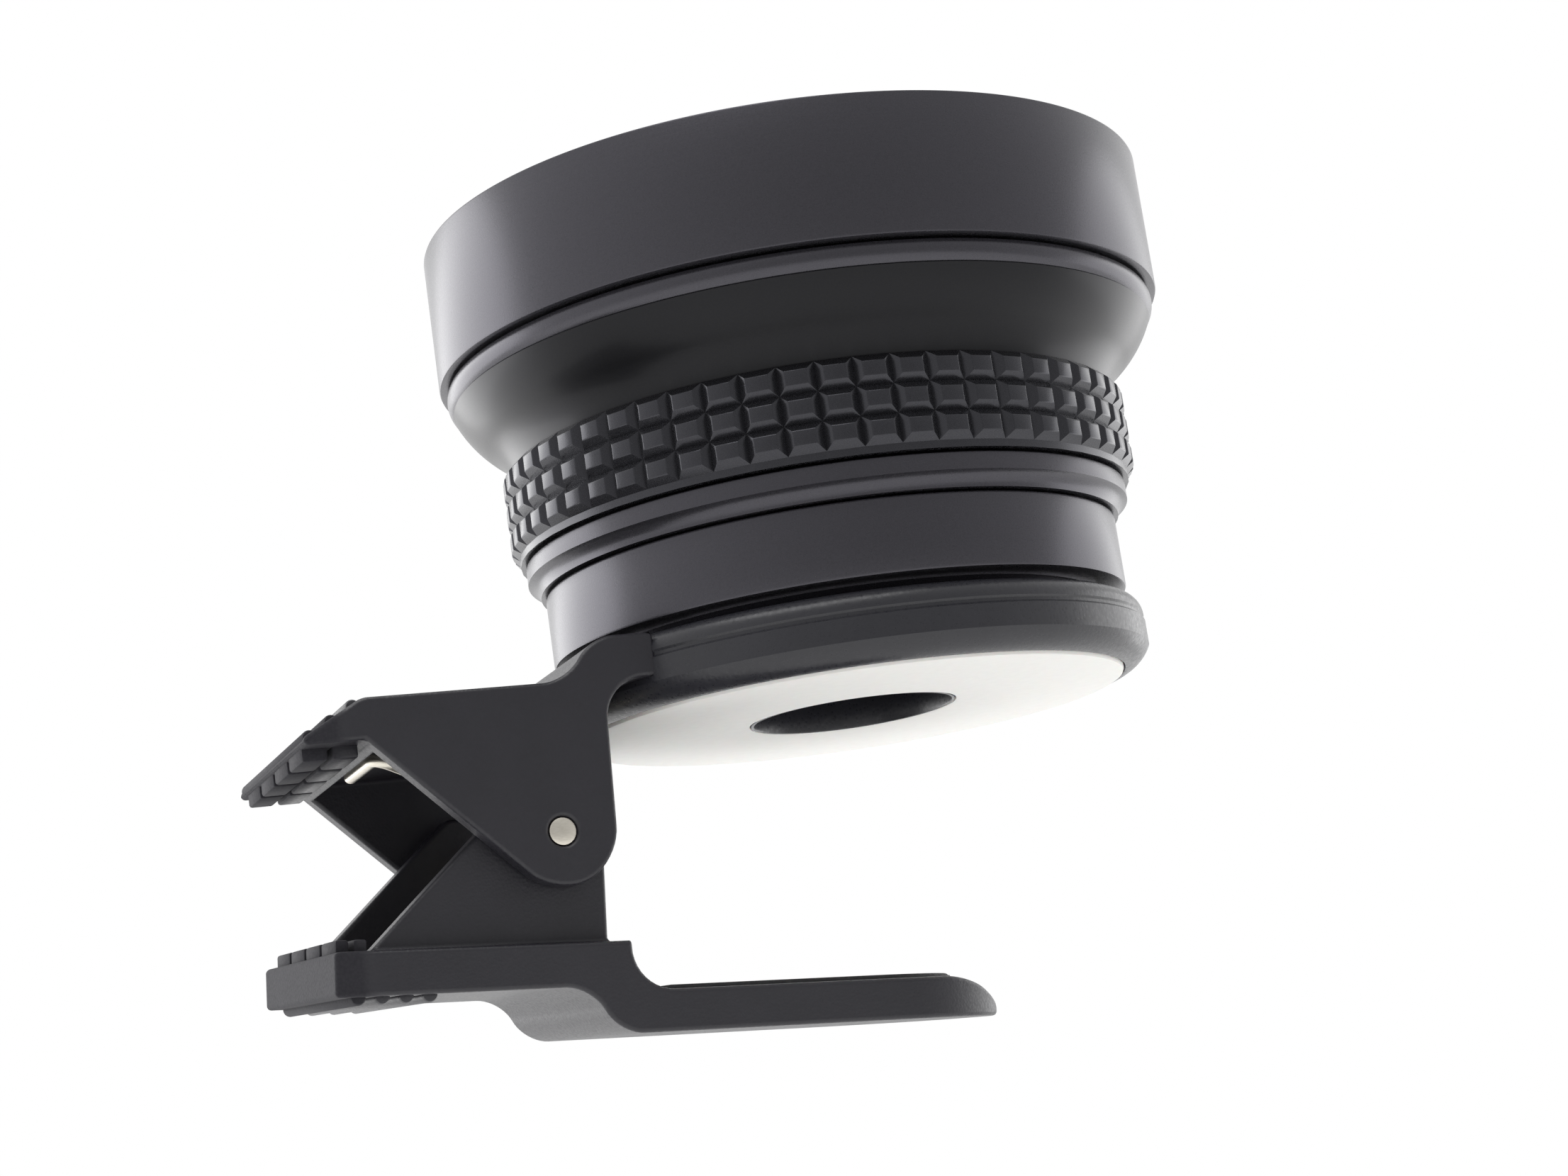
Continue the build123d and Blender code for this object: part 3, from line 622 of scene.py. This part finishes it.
front_low, front_top = low("front_retainer"), high("front_retainer")
reach = FRONT_GLASS_R - RETAINER_LAP
bm = retainer([(reach, front_low), (FRONT_GLASS_R, front_low), (FRONT_GLASS_R, spigot_top),
               (hood_bore - PLAY, spigot_top), (hood_bore - PLAY, front_top),
               (reach + RETAINER_LEAD, front_top), (reach, front_top - RETAINER_LEAD)], reach)
finish("front_retaining_ring", bm, BARREL, "wide", ["front_retainer"])
for name, node, r0, body in (("rear_retaining_ring", "rear_retainer", REAR_OPENING_R, "wide"),
                             ("macro_retaining_ring", "macro_retainer", MACRO_BORE, "macro")):
    z0, z1, r1 = low(node), high(node), radius(node)
    bm = retainer([(r0, z0), (r1, z0), (r1, z1), (r0, z1)], r0 - SLOT_BACK)
    finish(name, bm, BARREL, body, [node])

# %% [markdown]
# ## The glasses
#
# A lens element is two spherical faces and a ground edge, so its profile is two arcs from the
# axis to the rim. The rise of each arc is how far the glass bulges.


# %% Lens elements
def cap_points(r, z_rim, rise, count):
    """Points of a spherical cap's section from the axis to its rim; rise may be negative."""
    bend = (r * r + rise * rise) / (2 * abs(rise))
    way = 1 if rise > 0 else -1
    at = [r * i / count for i in range(count + 1)]
    return [(x, z_rim + rise - way * (bend - math.sqrt(bend ** 2 - x * x))) for x in at]


# Each row: piece, node, body, edge thickness, rise above, rise below, and the flat rim below
LENSES = (("front_element", "front_glass", "wide", 2.0, 3.5, 3.4, 4.0),
          ("rear_element", "rear_glass_lower", "wide", 1.1, 0.5, 0.5, 1.0),
          ("rear_element_cemented", "rear_glass_upper", "wide", 1.1, 1.0, 0.5, 0.0),
          ("macro_element", "macro_glass", "macro", 2.0, 1.0, -1.0, 1.4))
for name, node, body, edge, rise, hollow, rim in LENSES:
    r = radius(node)
    z0 = low(node) - min(0, hollow)
    under = cap_points(r - rim, z0, hollow, 24)
    over = cap_points(r, z0 + edge, rise, 32)
    outline = under + ([(r, z0)] if rim else []) + list(reversed(over))
    bm = spun(outline, broken=0, steps=128)
    finish(name, bm, GLASS, body, [node])

# %% [markdown]
# ## Soft pad of the ring
#
# The pad is a flat ring of foam, slightly proud of the clip, with a camera hole through it. Its
# edges are a little rounded, and it is tight, so it has no crown.

# %% Ring pad
HOLE_R = 7.3
pad_r, pad_top = radius("ring_pad"), high("ring_pad")
bm = spun([(HOLE_R, 0), (pad_r, 0), (pad_r, pad_top), (HOLE_R, pad_top)], broken=0.3, steps=192)
ring_cushion = finish("ring_cushion", bm, WHITE_PAD, "clip", ["ring_pad"])

# %% [markdown]
# ## The clip's ring
#
# The ring is moulded with the arm, but a joint line shows where they meet, so the two are made
# apart. Its lip is rounded above a shallow groove, and its lower corner rolls into a chamfer.
# A thin black collar lines the hole in the pad, so no white wall shows inside it.

# %% Clip ring
RING_R = 21.3
RING_TOP = 4.9
RING_FLOOR = 2.5
PAD_GAP = 0.1
RING_LOW = 0.25
CHAMFER_IN = 1.75
CHAMFER_UP = 1.35
GROOVE_FROM = 3.15
GROOVE_TO = 3.5
GROOVE_DEPTH = 0.15
LIP_FROM = 3.65
LIP_IN = 0.85
COLLAR_R = 7.05
COLLAR_LOW = 0.05
socket_r = MOUNT_R + BODY_GAP
below = arc_points((RING_R - CHAMFER_IN, RING_LOW), (RING_R, RING_LOW + CHAMFER_UP), -0.25, 8)
lip = arc_points((RING_R - 0.05, LIP_FROM), (RING_R - LIP_IN, RING_TOP), -0.22, 8)
outside = [*below, (RING_R, GROOVE_FROM), (RING_R - GROOVE_DEPTH, 3.3), (RING_R - GROOVE_DEPTH, GROOVE_TO),
           *lip]
ring_profile = [(COLLAR_R, COLLAR_LOW), (HOLE_R - 0.01, COLLAR_LOW), (HOLE_R - 0.01, pad_top),
                (pad_r + PAD_GAP, pad_top), (pad_r + PAD_GAP, RING_LOW), *outside,
                (socket_r, RING_TOP), (socket_r, RING_FLOOR), (COLLAR_R, RING_FLOOR)]
clip_ring = spun(ring_profile, steps=256, keep=outside)
print("clip ring:", len(ring_profile), "corners")

# %% [markdown]
# ## Plates with a side outline
#
# Both jaws are channels whose side plates have a shaped outline. A plate is drawn as a polygon
# of a few corners, each with the length by which a vertex bevel rounds it, and is extruded
# along Y. A mould for it is laid out in the same way, in straight walls and corner radii. Two
# roundings that meet stop just short of each other, so that no edge has length nought. The
# moulding's sharp edges are rounded at the end by a bevel modifier, after points nearer than
# 0.06 mm are merged, since slivers would make it tear.


# %% Side outlines
NEARLY = 0.998


def plate(corners, y0, y1):
    """Solid with a side outline of (x, z, rounding) corners in mm, from y0 to y1."""
    bm = bmesh.new()
    verts = [bm.verts.new((x * MM, y0 * MM, z * MM)) for x, z, _ in corners]
    bm.faces.new(verts)
    for vert, (_, _, rounding) in zip(verts, corners):
        if rounding:
            bmesh.ops.bevel(bm, geom=[vert], offset=rounding * MM, offset_type="OFFSET", segments=10,
                            profile=0.5, affect="VERTICES", material=-1, clamp_overlap=False)
    grown = bmesh.ops.extrude_face_region(bm, geom=list(bm.faces))
    moved = [v for v in grown["geom"] if isinstance(v, bmesh.types.BMVert)]
    bmesh.ops.translate(bm, verts=moved, vec=(0, (y1 - y0) * MM, 0))
    bmesh.ops.recalc_face_normals(bm, faces=bm.faces)
    return bm


def lug(centre, r, start, end, parts=2):
    """Corners that round into an arc about a centre, from one angle to another."""
    half = (end - start) / (2 * parts)
    out = r / math.cos(half)
    at = [start + half * (2 * i + 1) for i in range(parts)]
    return [(centre[0] + out * math.cos(a), centre[1] + out * math.sin(a), r * abs(math.tan(half)) * NEARLY)
            for a in at]


def s_bend(x0, z0, x1, z1):
    """Two corners that round into an S between two level lines."""
    dx, dz = (x1 - x0) / 2, (z1 - z0) / 2
    t = (dx * dx + dz * dz) / (2 * abs(dx))
    way = 1 if dx > 0 else -1
    return [(x0 + way * t, z0, t * NEARLY), (x1 - way * t, z1, t * NEARLY)]


WELD = 0.06
EDGE_ROUND = 0.3
EDGE_SHARPER_THAN = math.radians(32)


def soften(piece):
    """Round every sharp edge, as a moulding's edges are."""
    bm = bmesh.new()
    bm.from_mesh(piece.data)
    bmesh.ops.remove_doubles(bm, verts=bm.verts, dist=WELD * MM)
    print(piece.name, "shortest edge:", round(min(e.calc_length() for e in bm.edges) / MM, 3), "mm")
    bm.to_mesh(piece.data)
    bm.free()
    rounding = piece.modifiers.new("moulded edges", "BEVEL")
    rounding.use_clamp_overlap = False
    rounding.width = EDGE_ROUND * MM
    rounding.segments = 4
    rounding.limit_method = "ANGLE"
    rounding.angle_limit = EDGE_SHARPER_THAN
    rounding.harden_normals = True


# %% [markdown]
# ## Upper jaw
#
# A thick web joins two side plates, which taper to round lugs about the pin. Towards the lens
# the web rises into the arm, and at the other end it slopes down to the upper grip. All of it
# is one outline, so no seam or crack can open at the knee. A box cut out of it leaves the web
# and the plates, a shaft makes room for the ring, and a rod makes the pin's hole.

# %% Upper jaw's outline
HALF_WIDTH = 11.0
PLATE = 1.6
INNER_HALF = HALF_WIDTH - PLATE
PIN = (-25.7, -7.5)
PIN_R = 0.95
LUG_R = 3.5
WEB_TOP = 2.1
WEB_LOW = -0.2
KNEE = (-37.6, -0.6)
GRIP_TIP = (-41.5, -0.1)
ARM_LOW = 2.0
ARM_FRONT = -21.6
ARM_ROUND = 2.6
ARM_OVERLAP = 1.5
STEP_BACK = -25.8
STEP_FRONT = -20.6
arm_end = -math.sqrt(RING_R ** 2 - HALF_WIDTH ** 2) + ARM_OVERLAP
dx, dz = KNEE[0] - PIN[0], KNEE[1] - PIN[1]
lug_from = math.atan2(dz, dx) + math.acos(LUG_R / math.hypot(dx, dz))
outline = [(KNEE[0], WEB_TOP, 0.4), (*GRIP_TIP, 0), (GRIP_TIP[0], KNEE[1], 0), (*KNEE, 0)]
outline += lug(PIN, LUG_R, lug_from, 2 * math.pi)
outline += [(ARM_FRONT, ARM_LOW, ARM_ROUND), (arm_end, ARM_LOW, 0), (arm_end, RING_TOP, 0)]
outline += reversed(s_bend(STEP_BACK, WEB_TOP, STEP_FRONT, RING_TOP))
print("upper jaw outline:", len(outline), "corners")


# %% Upper jaw's channel
KNEE_WALL = 0.77
RING_SEAT = 0.25


def round_bar(x, z, r, half):
    """Bar along Y with rounded ends."""
    bm = bmesh.new()
    lay = Matrix.Translation(Vector((x, 0, z)) * MM) @ Matrix.Rotation(math.pi / 2, 4, "X")
    bmesh.ops.create_cone(bm, cap_ends=True, segments=24, radius1=r * MM, radius2=r * MM,
                          depth=2 * half * MM, matrix=lay)
    ends = [e for e in bm.edges if abs(e.verts[0].co.y) > (half - 0.01) * MM
            and abs(e.verts[0].co.y - e.verts[1].co.y) < TINY]
    bmesh.ops.bevel(bm, geom=ends, offset=min(0.25, r / 2) * MM, offset_type="OFFSET", segments=2,
                    profile=0.5, affect="EDGES", material=-1)
    return bm


upper = plate(outline, -HALF_WIDTH, HALF_WIDTH)
upper = carve(upper, block(KNEE[0] + KNEE_WALL, 0, -INNER_HALF, INNER_HALF, PIN[1] - 8, WEB_LOW))
shaft = bmesh.new()
bmesh.ops.create_cone(shaft, cap_ends=True, segments=256, radius1=(RING_R - RING_SEAT) * MM,
                      radius2=(RING_R - RING_SEAT) * MM, depth=40 * MM)
upper = carve(upper, shaft)
upper = carve(upper, round_bar(*PIN, PIN_R, 3 * HALF_WIDTH))
print("upper jaw:", len(upper.faces), "faces")


# %% [markdown]
# ## Grips
#
# Each jaw ends in a grip: two rows of raised blocks inside, and round ribs outside. One block
# and one bar are each made by a function, and loops place them. The real ones grow out of the
# jaw, and here they reach a little way into it, so that none of them hangs free.


# %% Blocks and ribs
BLOCKS = (2, 4)
BLOCK_GAP_X = 0.15
BLOCK_GAP_Y = 0.3
BLOCK_ROUND = 0.18
BLOCK_PROUD = 0.8
BLOCK_SINK = 0.4
RIB_R = 0.5


def grip_blocks(x0, x1, z0, z1):
    """Rows of raised blocks across the jaw."""
    bm = bmesh.new()
    width = 2 * INNER_HALF
    for i in range(BLOCKS[0]):
        for j in range(BLOCKS[1]):
            xa = x0 + i * (x1 - x0) / BLOCKS[0]
            ya = -width / 2 + j * width / BLOCKS[1]
            join(bm, block(xa + BLOCK_GAP_X, xa + (x1 - x0) / BLOCKS[0] - BLOCK_GAP_X,
                           ya + BLOCK_GAP_Y, ya + width / BLOCKS[1] - BLOCK_GAP_Y, z0, z1, BLOCK_ROUND))
    return bm


def add_ribs(bm, start, end, count):
    """Round bars along Y, evenly spaced from one (x, z) point to another."""
    for i in range(count):
        t = i / (count - 1)
        join(bm, round_bar(start[0] + (end[0] - start[0]) * t, start[1] + (end[1] - start[1]) * t,
                           RIB_R, HALF_WIDTH - RIB_R))


grips = grip_blocks(GRIP_TIP[0], KNEE[0], KNEE[1] - BLOCK_PROUD, KNEE[1] + BLOCK_SINK)
add_ribs(grips, (GRIP_TIP[0] + RIB_R, GRIP_TIP[1]), (KNEE[0] - RIB_R, WEB_TOP - RIB_R), 3)

# %% Upper jaw's pieces
upper_channel = finish("upper_channel", upper, CLIP, "clip", ["upper_jaw"])
soften(upper_channel)
finish("clip_ring", clip_ring, RING, "clip", ["upper_jaw"])
finish("upper_finger_grip", grips, CLIP, "clip", ["upper_jaw"])

# %% [markdown]
# ## Lower jaw
#
# The lower jaw has its own two plates, inside the upper ones, a base with a grip, and the long
# tongue. It is drawn about the pin, level, and then turned to where it rests: a little open, and
# leaning by the play that its plates have between the upper ones.

# %% Lower jaw's outline
REST_OPENING = 4.1
REST_LEAN = 3.3
LOWER_HALF = 9.1
BASE_TOP = -6.4
BASE_LOW = -9.2
BASE_BACK = -14.9
BASE_FRONT = 4.2
HEEL_BACK = -0.3
HEEL_FRONT = 4.8
NECK_X = 7.0
TIP_X = 32.6
TIP_R = 9.0
TIP_RUN = 3.0
TIP_SLOPE = 4.6
TIP_DROP = 2.3
TONGUE_LOW = -12.25
TONGUE_TOP = TONGUE_LOW + 2.7
turned = (Matrix.Translation(Vector((PIN[0], 0, PIN[1])) * MM)
          @ Matrix.Rotation(math.radians(REST_LEAN), 4, "X")
          @ Matrix.Rotation(math.radians(REST_OPENING), 4, "Y"))
cove = NECK_X - BASE_FRONT
side = [(BASE_BACK, BASE_LOW, 0), (BASE_BACK, BASE_TOP, 0), (BASE_FRONT, BASE_TOP, 0),
        (BASE_FRONT, TONGUE_TOP, cove)]
side += [(TIP_X - TIP_SLOPE, TONGUE_TOP, 2.0), (TIP_X, TONGUE_TOP - TIP_DROP, 0), (TIP_X, TONGUE_LOW, 0)]
side += reversed(s_bend(HEEL_BACK, BASE_LOW, HEEL_FRONT, TONGUE_LOW))
lower = plate(side, -HALF_WIDTH, HALF_WIDTH)
print("lower jaw outline:", len(side), "corners")


# %% Lower jaw's body
SLOPE_AT = -5.9
LOWER_LUG = 3.2
PLATE_SINK = 0.2
PAD_BORDER = 1.6
PAD_THICK = 1.1
PAD_PROUD = 0.3


def tongue_plan(border, start, tip, z0, z1):
    """Solid with the tongue's rounded plan, drawn in by a border."""
    bm = bmesh.new()
    half = HALF_WIDTH - border
    verts = [bm.verts.new((x * MM, y * MM, z0 * MM))
             for x, y in ((start, -half), (tip, -half), (tip, half), (start, half))]
    bm.faces.new(verts)
    bmesh.ops.bevel(bm, geom=verts[1:3], offset=(TIP_R - border) * MM, offset_type="OFFSET",
                    segments=24, profile=0.5, affect="VERTICES", material=-1)
    grown = bmesh.ops.extrude_face_region(bm, geom=list(bm.faces))
    moved = [v for v in grown["geom"] if isinstance(v, bmesh.types.BMVert)]
    bmesh.ops.translate(bm, verts=moved, vec=(0, 0, (z1 - z0) * MM))
    return bm


lower = carve(lower, tongue_plan(0, BASE_BACK - 1, TIP_X, -20, 5), "INTERSECT")
plates = [(LOWER_LUG, BASE_TOP - PLATE_SINK, 0), (LOWER_LUG, LOWER_LUG, LOWER_LUG),
          (SLOPE_AT + LOWER_LUG, LOWER_LUG, 0.4),
          (SLOPE_AT + BASE_TOP - PLATE_SINK, BASE_TOP - PLATE_SINK, 0)]
for y0 in (-LOWER_HALF, LOWER_HALF - PLATE):
    lower = carve(lower, plate(plates, y0, y0 + PLATE), "UNION")
dish = LOWER_HALF - PLATE - 0.5
lower = carve(lower, block(BASE_BACK + 2 * PLATE, LOWER_LUG - PLATE / 2, -dish, dish, BASE_TOP - 1, 0))
pad_floor = TONGUE_TOP + PAD_PROUD - PAD_THICK
pad_tip = TIP_X - TIP_RUN - PAD_GAP
lower = carve(lower, tongue_plan(PAD_BORDER - PAD_GAP, NECK_X - PAD_GAP, pad_tip + PAD_GAP,
                                 pad_floor, pad_floor + 4))
bmesh.ops.transform(lower, matrix=turned, verts=lower.verts)
lower = carve(lower, round_bar(*PIN, PIN_R + PLAY, 3 * HALF_WIDTH))
soften(finish("lower_channel", lower, CLIP, "jaw", ["lower_jaw"]))

# %% [markdown]
# ## Lower grip
#
# The same blocks and ribs finish the lower jaw, and are turned with it to where it rests.

# %% Lower grip
BLOCKS_FROM, BLOCKS_TO = 0.3, 2.6
RIB_PITCH = 1.5
RIBS = 4
grips = grip_blocks(BASE_BACK + BLOCKS_FROM, BASE_BACK + BLOCKS_TO, BASE_TOP - PLATE_SINK,
                    BASE_TOP + BLOCK_PROUD)
add_ribs(grips, (BASE_BACK + RIB_PITCH, BASE_LOW), (BASE_BACK + RIB_PITCH * RIBS, BASE_LOW), RIBS)
bmesh.ops.transform(grips, matrix=turned, verts=grips.verts)
finish("lower_finger_grip", grips, CLIP, "jaw", ["lower_jaw"])

# %% [markdown]
# ## Tongue pad
#
# A thin black rubber pad lies in a recess of the tongue and stands a little proud, so that what
# is clamped never touches hard plastic. A wedge cut from its tip carries on the tongue's slope.

# %% Tongue pad
PAD_EDGE = 0.25
pad_high = pad_floor + PAD_THICK
pad = tongue_plan(PAD_BORDER, NECK_X, pad_tip, pad_floor, pad_high)
over = plate([(TIP_X - TIP_SLOPE, pad_high, 0), (TIP_X, pad_high - TIP_DROP, 0), (TIP_X, 0, 0),
              (TIP_X - TIP_SLOPE, 0, 0)], -HALF_WIDTH, HALF_WIDTH)
pad = carve(pad, over)
edges = [e for e in pad.edges if all(v.co.z > (pad_floor + 1) * MM for v in e.verts)]
bmesh.ops.bevel(pad, geom=edges, offset=PAD_EDGE * MM, offset_type="OFFSET", segments=3, profile=0.5,
                affect="EDGES", material=-1)
bmesh.ops.transform(pad, matrix=turned, verts=pad.verts)
tongue_cushion = finish("tongue_cushion", pad, TONGUE_PAD, "jaw", ["tongue_pad"])

# %% [markdown]
# ## Hinge pin and spring
#
# The pin is a plain rod with broken ends, so a cone with equal radii is enough. The spring's
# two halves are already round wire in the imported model, so they stay and only get their steel.

# %% Hinge pin and spring
bm = round_bar(*PIN, PIN_R, high("hinge_pin", "y"))
finish("pin", bm, STEEL, "clip", ["hinge_pin"])
for name in ("spring_upper", "spring_lower"):
    wire = nodes[name]
    wire.data.materials.clear()
    wire.data.materials.append(STEEL)

# %% [markdown]
# ## Floor
#
# The floor is a pale matt disc well below the part, which keeps its shadow. It isn't part of
# the object.

# %% Floor
FLOOR_Z = -110
FLOOR_R = 450
floor_bm = bmesh.new()
bmesh.ops.create_circle(floor_bm, cap_ends=True, segments=128, radius=FLOOR_R * MM)
bmesh.ops.translate(floor_bm, verts=floor_bm.verts, vec=(0, 0, FLOOR_Z * MM))
floor = as_object(floor_bm, "floor")
floor_paint, tree, shader = new_material("floor, white matt paint")
shader.inputs["Base Color"].default_value = linear("F4F4F3")
shader.inputs["Roughness"].default_value = 0.8
floor.data.materials.append(floor_paint)
print("floor at", FLOOR_Z, "mm")

# %% [markdown]
# ## Light
#
# The camera sees the surround as plain white. What lights the object, and what its metal
# mirrors, is bright behind it and dim in front, where the camera stands, so the world's
# strength runs along Y. Two broad lamps behind the object make the pale bands at the lens's
# sides, and a third lights it from above. All of these are set one by one.

# %% World
WHITE = (1, 1, 1, 1)
DIM = 0.45
BRIGHT = 1.2
world = bpy.data.worlds.new("white surround")
bpy.context.scene.world = world
world.use_nodes = True
tree = world.node_tree
tree.nodes.clear()
out = tree.nodes.new("ShaderNodeOutputWorld")
way = add(tree, "SeparateXYZ", None, Vector=add(tree, "TexCoord").outputs["Generated"])
behind = add(tree, "MapRange", {"From Min": -1.0, "From Max": 0.6, "To Min": DIM, "To Max": BRIGHT},
             Value=way.outputs["Y"])
soft = add(tree, "Background", {"Color": WHITE}, Strength=behind.outputs["Result"])
white = add(tree, "Background", {"Color": WHITE, "Strength": 1.0})
path = add(tree, "LightPath")
mix = add(tree, "MixShader", None, Fac=path.outputs["Is Camera Ray"])
tree.links.new(soft.outputs["Background"], mix.inputs[1])
tree.links.new(white.outputs["Background"], mix.inputs[2])
tree.links.new(mix.outputs["Shader"], out.inputs["Surface"])
print("surround from", DIM, "in front to", BRIGHT, "behind")


# %% Lamps
AIM = Vector((0, 0, 0.01))


def soft_lamp(name, at, size, power):
    """Round lamp at a place in metres, aimed at the lens, with its size in metres and its watts."""
    lamp = bpy.data.lights.new(name, "AREA")
    lamp.shape, lamp.size, lamp.energy = "DISK", size, power
    obj = bpy.data.objects.new(name, lamp)
    bpy.context.scene.collection.objects.link(obj)
    obj.location = at
    obj.rotation_euler = (AIM - Vector(at)).to_track_quat("-Z", "Y").to_euler()
    print(name, "lamp", power, "W")


soft_lamp("overhead", (-0.1, -0.1, 0.55), 0.5, 1.5)
soft_lamp("behind left", (-0.36, 0.47, 0.06), 0.66, 2.6)
soft_lamp("behind right", (0.585, 0.125, -0.03), 0.64, 1.35)

# %% [markdown]
# ## Camera
#
# The camera stands to the left of the front and a little below, looks up at the lens, and is
# held a little askew. A camera looks down its own -Z, so it is rolled about that axis first,
# then tipped up from level, and then turned about Z towards the object.

# %% Camera
CAMERA_AT = Vector((-79.11, -181.77, -28.37)) * MM
AZIMUTH = math.radians(22.5)
LOOK_UP = math.radians(10.883)
ROLL = math.radians(8.374)
lens = bpy.data.cameras.new("camera")
lens.lens, lens.sensor_width, lens.sensor_fit = 65.0, 36.0, "HORIZONTAL"
lens.clip_start, lens.clip_end = 0.01, 10
camera = bpy.data.objects.new("camera", lens)
bpy.context.scene.collection.objects.link(camera)
camera.matrix_world = (Matrix.Translation(CAMERA_AT) @ Matrix.Rotation(-AZIMUTH, 4, "Z")
                       @ Matrix.Rotation(math.pi / 2 + LOOK_UP, 4, "X") @ Matrix.Rotation(-ROLL, 4, "Z"))
bpy.context.scene.camera = camera
bpy.context.scene.view_settings.view_transform = "Standard"
print("camera looks along", [round(-camera.matrix_world[i][2], 4) for i in range(3)])
